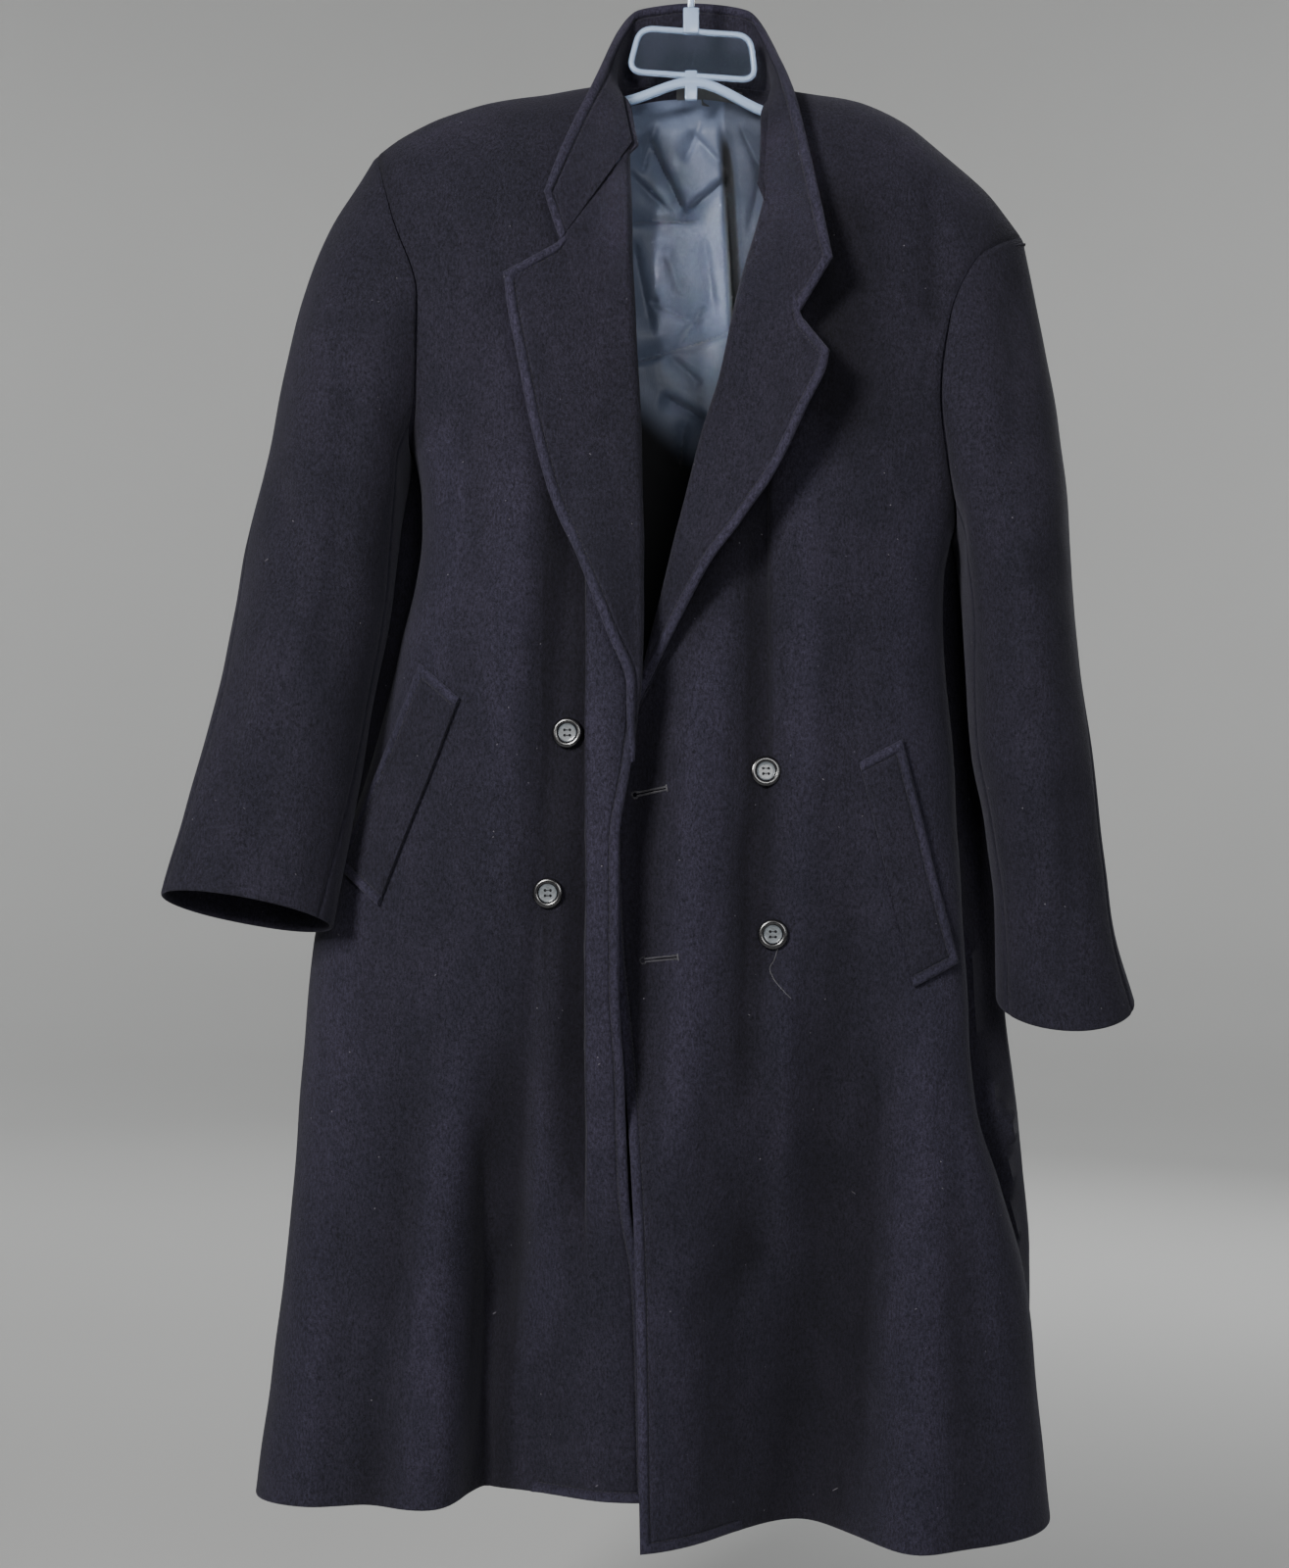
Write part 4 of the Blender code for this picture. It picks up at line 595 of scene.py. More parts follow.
def back_y(half, x, z):
    flat = column(DEPTHS, "z", "back", z)
    y, reach = round_plan(half, x, z, BACK_CENTRE_X, flat)
    y = y - fold_depth(BACK_FOLDS, x, z) * (1 - reach**8)
    top_y, top_z = neckline(half, x)
    return top_y + (y - top_y) * over_shoulder(top_z - z) + SEAM / 2


def crease_depth(creases, x, z):
    """How far pressed lines and soft dents sink at each place of the front view."""
    total = np.zeros(np.broadcast(x, z).shape)
    for crease in creases:
        line = np.array([crease.low_x - crease.top_x, crease.low_z - crease.top_z])
        length = np.hypot(*line)
        line = line / length
        along = (x - crease.top_x) * line[0] + (z - crease.top_z) * line[1]
        beside = (x - crease.top_x) * -line[1] + (z - crease.top_z) * line[0]
        width = np.where(beside * np.sign(crease.top_x + 1e-9) > 0, crease.outer, crease.inner)
        ends = ease(along / length * 4) * ease((length - along) / length * 4)
        total = total + crease.depth * ends * np.exp(-((abs(beside) / width) ** crease.sharp))
    return total


def ripples(points):
    """Small uneven waves, the same on every run."""
    draw = np.random.default_rng(RIPPLE_SEED)
    total = np.zeros(points.shape[:-1])
    for _ in range(RIPPLE_WAVES):
        way = unit(draw.normal(size=3) * RIPPLE_WAY)
        length = draw.uniform(*RIPPLE_LENGTHS)
        phase = draw.uniform(0, 2 * np.pi)
        total += np.sin(points @ way * 2 * np.pi / length + phase) * length / RIPPLE_LENGTHS[1]
    return total * RIPPLE_HEIGHT


# Sheets of points, row by row from the top


def spaced(length, start, stop, count):
    """Places along each length: set distances near both ends, even steps between them."""
    length = np.asarray(length, float)[..., None]
    first, last = np.array(start, float), np.array(stop, float)[::-1]
    fit = np.minimum(1, 0.8 * length / (first[-1] + last[0] + 1e-9))
    first, last = first * fit, last * fit
    middle = np.linspace(0, 1, count + 2)[1:-1]
    between = first[..., -1:] + (length - first[..., -1:] - last[..., :1]) * middle
    return np.concatenate([first, between, length - last], axis=-1)


def runs(points, axis):
    """Distance along rows or columns of points from their start."""
    step = np.linalg.norm(np.diff(points, axis=axis), axis=-1)
    start = np.zeros_like(np.take(step, [0], axis=axis))
    return np.concatenate([start, np.cumsum(step, axis=axis)], axis=axis)


def drops(half):
    """Share of the way from the shoulder to the hem of each row: round the armhole, then even."""
    shoulder, armpit = half.shoulder[-1].z, half.armhole_front[-1].z
    fall = shoulder - half.hem_side_z
    armpit_share = (shoulder - armpit) / fall
    armhole = armpit_share * (1 - np.cos(np.linspace(0, np.pi, ARMHOLE_ROWS + 1))) / 2
    skirt = armpit_share + spaced(armpit - half.hem_side_z, PLAIN, EDGE_STEPS, SKIRT_ROWS) / fall
    return np.concatenate([armhole, skirt[1:]]), armpit_share


def panel_rows(half, top_z, hem_z):
    """Heights over rows and columns: along the shoulder at the top, level from the armpit down."""
    shares, armpit_share = drops(half)
    above = np.clip(1 - shares / armpit_share, 0, 1) ** 2
    below = np.clip((shares - armpit_share) / (1 - armpit_share), 0, 1)
    z = top_z[-1] + (hem_z[-1] - top_z[-1]) * shares[:, None]
    z = z + (top_z - top_z[-1])[None, :] * above[:, None]
    z = z + (hem_z - hem_z[-1])[None, :] * below[:, None]
    return z, ease(shares / armpit_share)


def spread_columns(half, surface, steps, inner, outer, z, turn):
    """Places across each row, even along the cloth below the shoulder, and their share of the cloth."""
    dense = 1 - (1 - np.linspace(0, 1, 401)) ** 2.5
    x = inner + (outer - inner) * dense
    run = runs(np.stack([x, surface(half, x, z[:, -1:] + 0 * x)], axis=-1), 1)
    even = spaced(NOMINAL_WIDTH, *steps) / NOMINAL_WIDTH
    want = spaced(run[:, -1], *steps)
    along = np.array([np.interp(places, row, dense) for places, row in zip(want, run)])
    return inner + (outer - inner) * (even + (along - even) * turn[:, None]), want / run[:, -1:]


def side_x(half, armhole, z):
    """The outer edge of a panel: the armhole, then the side seam."""
    below = [Edge(row.z, row.x) for row in half.side if row.z < armhole[-1].z]
    return column(armhole + below, "z", "x", z)


def front_sheet(half):
    steps = (EDGE_STEPS, SEAM_STEPS, FRONT_COLUMNS)
    even = spaced(NOMINAL_WIDTH, *steps) / NOMINAL_WIDTH
    neck, point = half.shoulder[0], half.shoulder[-1]
    top_z = column(half.shoulder, "x", "z", neck.x + (point.x - neck.x) * even)
    hem_z = half.hem_edge_z + (half.hem_side_z - half.hem_edge_z) * even
    z, turn = panel_rows(half, top_z, hem_z)
    inner = column(half.edge, "z", "x", z[:, :1])
    break_z = half.leaves[-1].roll_z
    under_roll = ease((z[:, :1] - break_z + ROLL_BELOW) / ROLL_FOOT)
    under_roll = under_roll * ease((half.shoulder[0].z - z[:, :1]) / ROLL_TOP)
    inner = inner + half.sign * ROLL_HIDES * under_roll
    outer = side_x(half, half.armhole_front, z[:, -1:])
    x, _ = spread_columns(half, front_y, steps, inner, outer, z, turn)
    return np.stack([x, front_y(half, x, z), z], axis=-1)


def back_sheet(half):
    steps = (SEAM_STEPS, SEAM_STEPS, BACK_COLUMNS)
    even = spaced(NOMINAL_WIDTH, *steps) / NOMINAL_WIDTH
    start, point = BACK_SEAM[0].x, half.shoulder[-1]
    top_z = neckline(half, start + (point.x - start) * even)[1]
    hem_z = BACK_HEM_Z + (half.hem_side_z - BACK_HEM_Z) * even
    z, turn = panel_rows(half, top_z, hem_z)
    inner = column(BACK_SEAM, "z", "x", z[:, :1]) + half.sign * SEAM / 2
    outer = side_x(half, half.armhole_back, z[:, -1:])
    x, share = spread_columns(half, back_y, steps, inner, outer, z, turn)
    near_side = np.sin(np.pi * np.clip(SWING_REACH * (1 - share), 0, 1)) ** 2
    swing = column(half.side, "z", "bulge", z) * near_side
    return np.stack([x + half.sign * swing, back_y(half, x, z), z], axis=-1)


def armhole_ring(half, angles):
    """Points of the armhole at angles from the shoulder point, round the front to the armpit and back."""
    top, armpit = half.shoulder[-1].z, half.armhole_front[-1].z
    z = top + (armpit - top) * (1 - np.cos(angles)) / 2
    front_x = side_x(half, half.armhole_front, z)
    back_x = side_x(half, half.armhole_back, z)
    in_front = np.sin(angles) >= 0
    x = np.where(in_front, front_x, back_x)
    y = np.where(in_front, front_y(half, front_x, z), back_y(half, back_x, z))
    return np.stack([x, y, z], axis=-1)


def sleeve_ring(half, place, angles):
    """Plain ring of the sleeve at a place between the table's rows."""
    at = row_at(half.rings, place)
    middle = np.array([at["outer_x"] + at["inner_x"], 2 * at["mid_y"], at["outer_z"] + at["inner_z"]]) / 2
    along = np.array([at["outer_x"] - at["inner_x"], 0, at["outer_z"] - at["inner_z"]]) / 2
    turn = np.radians(at["twist"]) * -half.sign
    across_x = along[0] * np.cos(angles)
    inner_back = 4 * (np.minimum(np.sin(angles), 0) * np.minimum(np.cos(angles), 0)) ** 2
    pressed = PRESSED * np.interp(place, PRESSED_ROWS, (0, 1, 1, 0)) * inner_back
    across_y = -at["half_depth"] * np.sin(angles) * (1 - pressed)
    x = middle[0] + across_x * np.cos(turn) - across_y * np.sin(turn)
    y = middle[1] + across_x * np.sin(turn) + across_y * np.cos(turn)
    z = middle[2] + along[2] * np.cos(angles) - at["pitch"] * (y - middle[1])
    return np.stack([x, y, z], axis=-1)


def sleeve_sheet(half, start, stop, columns):
    """Sheet of a piece of sleeve between two seams, each given as degrees at the armhole and at the cuff."""
    last = len(half.rings) - 1
    share = spaced(1.0, np.array(SEAM_STEPS) * 4, np.array(SEAM_STEPS) * 4, columns)
    top_angles = np.radians(start[0] + (stop[0] - start[0]) * share)
    cuff_angles = np.radians(start[1] + (stop[1] - start[1]) * share)
    to_armhole = armhole_ring(half, top_angles) - sleeve_ring(half, 0.0, top_angles)
    dense = np.linspace(0, last, 300)

    def ring_at(row):
        angles = top_angles + (cuff_angles - top_angles) * ease(row / last)
        return sleeve_ring(half, row, angles) + to_armhole * (1 - ease(row / HEAD_ROWS))

    run = runs(np.array([ring_at(row) for row in dense]).mean(axis=1), 0)
    rows = np.interp(spaced(run[-1], SEAM_STEPS, HEM_STEPS, SLEEVE_ROWS), run, dense)
    sheet = np.array([ring_at(row) for row in rows])
    sheet[..., 0] += half.sign * SEAM * 1.5
    return sheet


def leaves_of(half):
    return half.leaves + (RIGHT_TURN if half.sign < 0 else LEFT_TURN)


def lapel_at(half, place):
    """The leaf's roll line and edge at places down its table, and how far its face stands off the front."""
    return row_at(leaves_of(half), place)


def lapel_points(half, place, share):
    """Points of the turned-back leaf: place down its table, share from the roll line to the outer edge."""
    at = lapel_at(half, place)
    x = at["roll_x"] + (at["edge_x"] - at["roll_x"]) * share
    z = at["roll_z"] + (at["edge_z"] - at["roll_z"]) * share
    notch = np.minimum(share / NOTCH_AT, (1 - share) / (1 - NOTCH_AT))
    z = z - half.gorge_sag * notch * (1 - ease(place / 2.0))
    near_end = ease((len(leaves_of(half)) - 1 - place) / TURN_FADE)
    clear = LAPEL_REST + (LAPEL_CLEAR + DOUBLED) * near_end + at["lift"] * share**LAPEL_CURVE
    return np.stack([x, front_y(half, x, z, LAPEL_CREASES) - clear, z], axis=-1)


def lapel_sheet(half):
    """The lapel from a tail inside the coat, round the roll, to its outer edge, and the thickness there."""
    last = len(leaves_of(half)) - 1
    dense = np.linspace(0, last, 300)
    run = runs(lapel_points(half, dense, 0.5 + 0 * dense), 0)
    place = np.interp(spaced(run[-1], EDGE_STEPS, PLAIN, LAPEL_ROWS), run, dense)[:, None]
    at = lapel_at(half, place)
    leaf = np.stack([at["edge_x"] - at["roll_x"], 0 * place, at["edge_z"] - at["roll_z"]], axis=-1)
    width = np.linalg.norm(leaf, axis=-1)
    outward = leaf / width[..., None]
    face = lapel_points(half, place, 0 * place)
    panel = front_y(half, at["roll_x"], at["roll_z"]) + WOOL + ROLL_WALL + 0.0005
    radius = np.minimum((panel - face[..., 1]) / 2, width * 0.4)
    flat = (radius + spaced((width - radius)[:, 0], PLAIN, EDGE_STEPS, LAPEL_COLUMNS)) / width
    leaf_face = lapel_points(half, place, flat)
    start = leaf_face[:, :1]
    turns = np.linspace(np.pi, 0, ROLL_TURNS)[None, :-1, None]
    size = radius[..., None]
    depth = np.array([0.0, 1.0, 0.0])
    roll = start + depth * size - outward * size * np.sin(turns) - depth * size * np.cos(turns)
    tail = roll[:, :1] + outward * (np.array(TAIL) * np.minimum(1, width / TAIL[0]))[..., None]
    sheet = np.concatenate([tail, roll, leaf_face], axis=1)
    thin = np.concatenate([np.zeros(len(TAIL) + ROLL_TURNS - 1), ease(np.arange(flat.shape[1]) / 3)])
    near_end = ease((last - place) / TURN_FADE)
    return sheet, ROLL_WALL + (DOUBLED - ROLL_WALL) * thin * near_end


def collar_sheet():
    """The turned-up collar, from its outer edge down to its seam: the gorge of each lapel and the neck."""
    last = len(COLLAR) - 1
    dense = np.linspace(0, last, 600)

    def lines(place):
        at = row_at(COLLAR, place)
        edge = np.stack([at["edge_x"], at["edge_y"], at["edge_z"]], axis=-1)
        base = np.stack([at["base_x"], at["base_y"], at["base_z"]], axis=-1)
        for half, from_end in ((RIGHT, place), (LEFT, last - place)):
            share = NOTCH_AT * np.clip(1 - from_end / GORGE_ROWS, 0, 1)
            gorge = lapel_points(half, np.zeros_like(place), share) + (0, DOUBLED, GORGE_GAP)
            near = (1 - ease((from_end - GORGE_ROWS) / 0.8))[:, None]
            base = base + (gorge - base) * near
        return edge, base

    run = runs(lines(dense)[0], 0)
    place = np.interp(spaced(run[-1], EDGE_STEPS, EDGE_STEPS, COLLAR_STATIONS), run, dense)
    edge, base = lines(place)
    tall = np.linalg.norm(base - edge, axis=-1)
    share = (spaced(tall, EDGE_STEPS, SEAM_STEPS, COLLAR_ROWS) / tall[:, None]).T[..., None]
    return edge[None] + (base - edge)[None] * share


def normals(sheet, towards):
    """Unit normals of a sheet of points, on the side that faces the given way."""
    found = unit(np.cross(np.gradient(sheet, axis=1), np.gradient(sheet, axis=0)))
    for _ in range(NORMAL_PASSES):
        beside = np.pad(found, ((1, 1), (1, 1), (0, 0)), mode="edge")
        around = beside[2:, 1:-1] + beside[:-2, 1:-1] + beside[1:-1, 2:] + beside[1:-1, :-2]
        found = unit(found + around / 2)
    return found if (found @ np.asarray(towards, float)).mean() > 0 else -found


def meet(first, second):
    """Shares the normals of two edges that meet at a seam, unless they fold back on each other."""
    agree = ease((first * second).sum(axis=-1, keepdims=True) / 0.5)
    both = unit(first + second + 1e-9)
    return unit(first + (both - first) * agree), unit(second + (both - second) * agree)


def rows_at(rows, own_z, z):
    """Rows read at other heights than their own."""
    at = np.interp(-z, -own_z, np.arange(len(rows), dtype=float))
    low = np.clip(at.astype(int), 0, len(rows) - 2)
    share = (at - low)[:, None, None]
    return rows[low] * (1 - share) + rows[low + 1] * share


def inside_sheet():
    """Both backs' own points as one sheet, right armhole to left, and the normals into the coat."""
    right, left = back_sheet(RIGHT), back_sheet(LEFT)
    left = rows_at(left, left[:, 0, 2], right[:, 0, 2])
    whole = np.concatenate([right[:, :0:-1], (right[:, :1] + left[:, :1]) / 2, left[:, 1:]], axis=1)
    return whole, normals(whole, (0, -1, 0))


def neck_strip(x, drop, clear):
    """Points inside the back neck, some way in front of the back's outside."""
    x, drop = np.meshgrid(x, drop)
    z = np.where(x < 0, neckline(RIGHT, x)[1], neckline(LEFT, x)[1]) - drop
    strip = np.stack([x, np.where(x < 0, back_y(RIGHT, x, z), back_y(LEFT, x, z)), z], axis=-1)
    along = np.gradient(strip, axis=1)
    level = unit(np.stack([along[..., 1], -along[..., 0], 0 * x], axis=-1))
    return strip + level * clear


# Finishes


class Wire:
    """A shader socket for use in Python expressions, which can add any other node to its tree."""

    def __init__(self, tree, socket=None):
        self.tree, self.socket = tree, socket

    def node(self, kind, settings=None, sockets=None, out=0):
        """Adds a node: its settings first, then the values or links of its sockets."""
        made = self.tree.nodes.new(kind)
        for name, value in (settings or {}).items():
            setattr(made, name, value)
        for name, value in (sockets or {}).items():
            if isinstance(value, Wire):
                self.tree.links.new(value.socket, made.inputs[name])
            else:
                made.inputs[name].default_value = value
        return Wire(self.tree, made.outputs[out])

    def maths(self, operation, first, second):
        return self.node("ShaderNodeMath", {"operation": operation}, {0: first, 1: second})

    def __add__(self, other):
        return self.maths("ADD", self, other)

    def __sub__(self, other):
        return self.maths("SUBTRACT", self, other)

    def __rsub__(self, other):
        return self.maths("SUBTRACT", other, self)

    def __mul__(self, other):
        return self.maths("MULTIPLY", self, other)

    def __lt__(self, other):
        return self.maths("LESS_THAN", self, other)

    def __gt__(self, other):
        return self.maths("GREATER_THAN", self, other)

    __radd__ = __add__
    __rmul__ = __mul__


def scaled(place, stretch):
    return place.node("ShaderNodeVectorMath", {"operation": "MULTIPLY"}, {0: place, 1: stretch})


def turned(place, angles):
    return place.node("ShaderNodeMapping", {}, {"Vector": place, "Rotation": angles})


def noise(place, scale, detail=2.0, roughness=0.5):
    sockets = {"Vector": place, "Scale": scale, "Detail": detail, "Roughness": roughness}
    return place.node("ShaderNodeTexNoise", {}, sockets)


def cells(place, scale, out="Distance"):
    return place.node("ShaderNodeTexVoronoi", {}, {"Vector": place, "Scale": scale}, out)


def painted(place, name):
    """A value that was stored on the cloth's points."""
    return place.node("ShaderNodeAttribute", {"attribute_name": name}, out="Fac")


def ramp(value, low, high):
    """0 below the low value, 1 above the high one."""
    settings = {"interpolation_type": "SMOOTHSTEP"}
    return value.node("ShaderNodeMapRange", settings, {0: value, 1: low, 2: high})


def blend(share, first, second):
    """A colour between two."""
    return share.node("ShaderNodeMix", {"data_type": "RGBA"}, {0: share, 6: first, 7: second}, 2)


def tinted(dye, other):
    """One colour multiplied by another."""
    settings = {"data_type": "RGBA", "blend_type": "MULTIPLY"}
    return dye.node("ShaderNodeMix", settings, {0: 1.0, 6: dye, 7: other}, 2)


def bump(height, strength, distance):
    sockets = {"Strength": strength, "Distance": distance, "Height": height}
    return height.node("ShaderNodeBump", {}, sockets)


def new_finish(name, **constants):
    """A material with its plain values set, its shader and its object coordinates."""
    made = bpy.data.materials.new(name)
    made.use_nodes = True
    shader = made.node_tree.nodes["Principled BSDF"]
    for key, value in constants.items():
        shader.inputs[key.replace("_", " ")].default_value = value
    place = Wire(made.node_tree).node("ShaderNodeTexCoord", out="Object")
    return made, shader, place


def feed(shader, **wires):
    for key, wired in wires.items():
        wired.tree.links.new(wired.socket, shader.inputs[key.replace("_", " ")])


def solid(colour, share=1.0):
    return (*(channel * share for channel in colour), 1.0)


def grey(share):
    return solid((share, share, share))


def lint(place, scale, size, kept):
    """Sparse specks: the middles of some cells."""
    chosen = noise(cells(place, scale, "Color"), 5.0, 0.0) > kept
    return (cells(place, scale) < size * scale) * chosen


def brushed_wool(colours):
    """Milled overcoating: short nap that lies downwards, uneven dye and pale lint."""
    made, shader, place = new_finish(
        "brushed_wool", Roughness=0.95, Sheen_Weight=0.09, Sheen_Roughness=0.40,
        Sheen_Tint=solid(colours.sheen), Specular_IOR_Level=0.18,
    )
    nap = noise(scaled(place, (1.0, 1.0, 0.5)), 620.0, 3.0, 0.65)
    grain = noise(place, 1300.0, 2.0, 0.65)
    cloud = noise(place, 9.0, 3.0)
    rub = noise(scaled(place, (1.0, 1.0, 0.45)), 46.0, 4.0, 0.6)
    shade = ramp(nap * 0.55 + grain * 0.45, 0.28, 0.74)
    dye = blend(shade, solid(colours.wool, 0.22), solid(colours.wool, 2.1))
    patches = ramp(cloud * 0.5 + rub * 0.5, 0.35, 0.68)
    dye = tinted(dye, blend(patches, solid((0.80, 0.82, 0.86)), solid((1.16, 1.13, 1.18))))
    # Painted highlight: lighter along the finished edges and on the folds' ridges
    dye = tinted(dye, blend(painted(place, "rubbed"), grey(1.0), solid((1.75, 1.72, 1.80))))
    # Painted shade in the fronts' folds and in the lapel's shadow
    dye = tinted(dye, blend(painted(place, "shaded"), grey(1.0), grey(0.30)))
    dots = lint(place, 58.0, 0.00050, 0.50)
    hair = lint(scaled(turned(place, (0.5, 0.9, 0.3)), (1.0, 1.0, 0.07)), 72.0, 0.00040, 0.52)
    other = lint(scaled(turned(place, (1.1, -0.4, 0.8)), (0.09, 1.0, 1.0)), 66.0, 0.00038, 0.52)
    fluff = ramp(dots * 0.7 + hair * 0.5 + other * 0.5, 0.0, 1.0)
    dye = blend(fluff, dye, solid(colours.lint))
    feed(shader, Base_Color=dye, Normal=bump(nap * 0.5 + grain * 0.5, 0.75, 0.0014))
    return made


def satin_lining(colours):
    """Plain satin with a fine ribbed weave and faint water marks."""
    made, shader, place = new_finish("satin_lining", Sheen_Weight=0.10, Specular_IOR_Level=0.28)
    rib = noise(scaled(place, (1.0, 1.0, 0.12)), 1700.0)
    mark = noise(place, 26.0, 3.0)
    tone = ramp(rib * 0.35 + mark * 0.65, 0.2, 0.8)
    shaded = painted(place, "shaded")
    dye = blend(tone, solid(colours.lining, 0.78), solid(colours.lining, 1.18))
    dye = tinted(dye, blend(shaded, grey(1.0), grey(0.03)))
    crumple = noise(scaled(place, (1.0, 1.0, 0.7)), 58.0)
    dull = 0.44 + mark * 0.12 + shaded * 0.4
    feed(shader, Base_Color=dye, Roughness=dull, Normal=bump(rib * 0.06 + crumple, 0.40, 0.004))
    return made


def horn_button(colours):
    """Polished resin: a dark rim round a dished, cloudy middle."""
    made, shader, place = new_finish(
        "horn_button", Coat_Weight=0.35, Coat_Roughness=0.10, Specular_IOR_Level=0.5,
    )
    flat = scaled(place, (1.0, 1.0, 0.0))
    radius = place.node("ShaderNodeVectorMath", {"operation": "LENGTH"}, {0: flat}, "Value")
    swirl = noise(scaled(place, (1.0, 2.4, 1.0)), 260.0, 4.0, 0.6)
    middle = blend(ramp(swirl, 0.25, 0.75), solid(colours.button, 0.55), solid(colours.button, 1.5))
    rim = ramp(radius + swirl * 0.0004, 0.0071, 0.0077)
    dye = blend(rim, middle, solid(colours.rim))
    feed(shader, Base_Color=dye, Roughness=0.46 - rim * 0.26 + swirl * 0.08)
    return made


def twisted_thread(name, dye, pale, roughness, sheen):
    """Thread with its twist showing, from a darker to a paler share of its dye."""
    made, shader, place = new_finish(name, Roughness=roughness, Sheen_Weight=sheen)
    twist = noise(turned(place, (0.6, 0.6, 0.6)), 2600.0)
    dye = blend(twist, solid(dye, pale[0]), solid(dye, pale[1]))
    feed(shader, Base_Color=dye, Normal=bump(twist, 0.4, 0.0003))
    return made


def sewing_thread(colours):
    return twisted_thread("sewing_thread", colours.thread, (0.5, 1.6), 0.8, 0.08)


def buttonhole_thread(colours):
    return twisted_thread("buttonhole_thread", colours.twist, (0.6, 1.5), 0.7, 0.3)


def woven_label(colours):
    made, shader, place = new_finish("woven_label", Roughness=0.62, Sheen_Weight=0.2)
    weave = noise(scaled(place, (1.0, 1.0, 3.0)), 1400.0, 1.0)
    dye = blend(weave, solid(colours.label, 0.6), solid(colours.label, 1.5))
    feed(shader, Base_Color=dye, Normal=bump(weave, 0.3, 0.0003))
    return made


def slit_shadow(colours):
    """The dark inside of a cut buttonhole."""
    made, shader, place = new_finish("slit_shadow", Roughness=1.0, Specular_IOR_Level=0.0)
    fray = noise(place, 900.0)
    feed(shader, Base_Color=blend(fray, solid(colours.wool, 0.1), solid(colours.wool, 0.4)))
    return made


def clear_plastic(colours):
    """Moulded clear styrene with fine handling scratches, milky where it is thick."""
    made, shader, place = new_finish(
        "clear_plastic", Base_Color=solid(colours.clear), IOR=1.30, Transmission_Weight=1.0,
        Specular_IOR_Level=0.5,
    )
    scratch = noise(scaled(place, (1.0, 1.0, 0.2)), 420.0, 4.0, 0.7)
    dull = ramp(scratch, 0.5, 0.8) * 0.08 + 0.015
    feed(shader, Roughness=dull, Normal=bump(noise(place, 60.0), 0.06, 0.001))
    sockets = {"Base Color": (0.46, 0.60, 0.84, 1.0), "Roughness": 0.25}
    milky = place.node("ShaderNodeBsdfPrincipled", {}, sockets, "BSDF")
    depth = place.node("ShaderNodeSeparateXYZ", {}, {0: place}, "Y")
    thick = ramp(place.node("ShaderNodeMath", {"operation": "ABSOLUTE"}, {0: depth}), 0.0009, 0.0024)
    clear = Wire(made.node_tree, shader.outputs[0])
    mixed = place.node("ShaderNodeMixShader", {}, {0: thick * 0.42 + 0.022, 1: clear, 2: milky})
    made.node_tree.links.new(mixed.socket, made.node_tree.nodes["Material Output"].inputs["Surface"])
    return made


def pale_floor(colours):
    made, shader, place = new_finish("pale_floor", Roughness=0.9, Specular_IOR_Level=0.1)
    patch = noise(place, 1.2)
    feed(shader, Base_Color=blend(patch, solid(colours.floor, 0.97), solid(colours.floor, 1.03)))
    return made


FINISHES = {
    made.__name__: made
    for made in (
        brushed_wool, satin_lining, horn_button, sewing_thread, buttonhole_thread,
        woven_label, slit_shadow, clear_plastic, pale_floor,
    )
}


def finish(name):
    return bpy.data.materials.get(name) or FINISHES[name](bpy.context.scene.coat_colours)


# Meshes and pieces


def mesh_from(name, points, faces, sharp=60):
    """A smooth mesh with its faces turned outwards."""
    mesh = bpy.data.meshes.new(name)
    mesh.from_pydata(points, [], faces)
    bm = bmesh.new()
    bm.from_mesh(mesh)
    bmesh.ops.recalc_face_normals(bm, faces=bm.faces)
    bm.to_mesh(mesh)
    bm.free()
    mesh.shade_smooth()
    mesh.set_sharp_from_angle(angle=math.radians(sharp))
    return mesh


def linked(name, data):
    """A new object in the scene."""
    made = bpy.data.objects.new(name, data)
    bpy.context.scene.collection.objects.link(made)
    return made


def piece(name, mesh, look, nodes=(), matrix=None):
    """A named piece on the coat's one body, standing for the solids named."""
    made = linked(name, mesh)
    if matrix is not None:
        made.matrix_world = matrix
    mesh.materials.clear()
    mesh.materials.append(finish(look))
    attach(made, "root")
    if nodes:
        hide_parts(*nodes)
    return made


def away_from_edges(sheet):
    """How far each point lies from the four edges of its sheet, along the cloth."""
    across, down = runs(sheet, 1), runs(sheet, 0)
    return {"first": across, "last": across[:, -1:] - across, "top": down, "foot": down[-1:] - down}


def nearest(away, edges, extra):
    found = np.ones_like(away["first"])
    for edge in edges:
        found = np.minimum(found, away[edge] + extra.get(edge, 0))
    return found


def wall_mesh(name, outer, inner):
    """A closed wall between two sheets of the same grid."""
    rows, columns = outer.shape[:2]
    size = rows * columns
    corner = (np.arange(rows - 1)[:, None] * columns + np.arange(columns - 1)).reshape(-1, 1)
    quads = corner + np.array([0, columns, columns + 1, 1])
    foot = size - columns
    there = [*range(columns), *range(2 * columns - 1, size, columns)]
    back = [*range(size - 2, foot - 1, -1), *range(foot - columns, 0, -columns)]
    rim = np.array(there + back)
    ahead = np.roll(rim, -1)
    band = np.stack([rim, ahead, ahead + size, rim + size], axis=-1)
    faces = np.concatenate([quads, quads[:, ::-1] + size, band])
    points = np.concatenate([outer.reshape(-1, 3), inner.reshape(-1, 3)])
    return mesh_from(name, points.tolist(), faces.tolist())


STITCH_LINES = []


def paint(mesh, name, values):
    """Stores one value for each point of a wall's two sheets, for its finish to read."""
    stored = mesh.attributes.new(name, "FLOAT", "POINT")
    stored.data.foreach_set("value", np.tile(values.ravel(), 2).astype(np.float32))


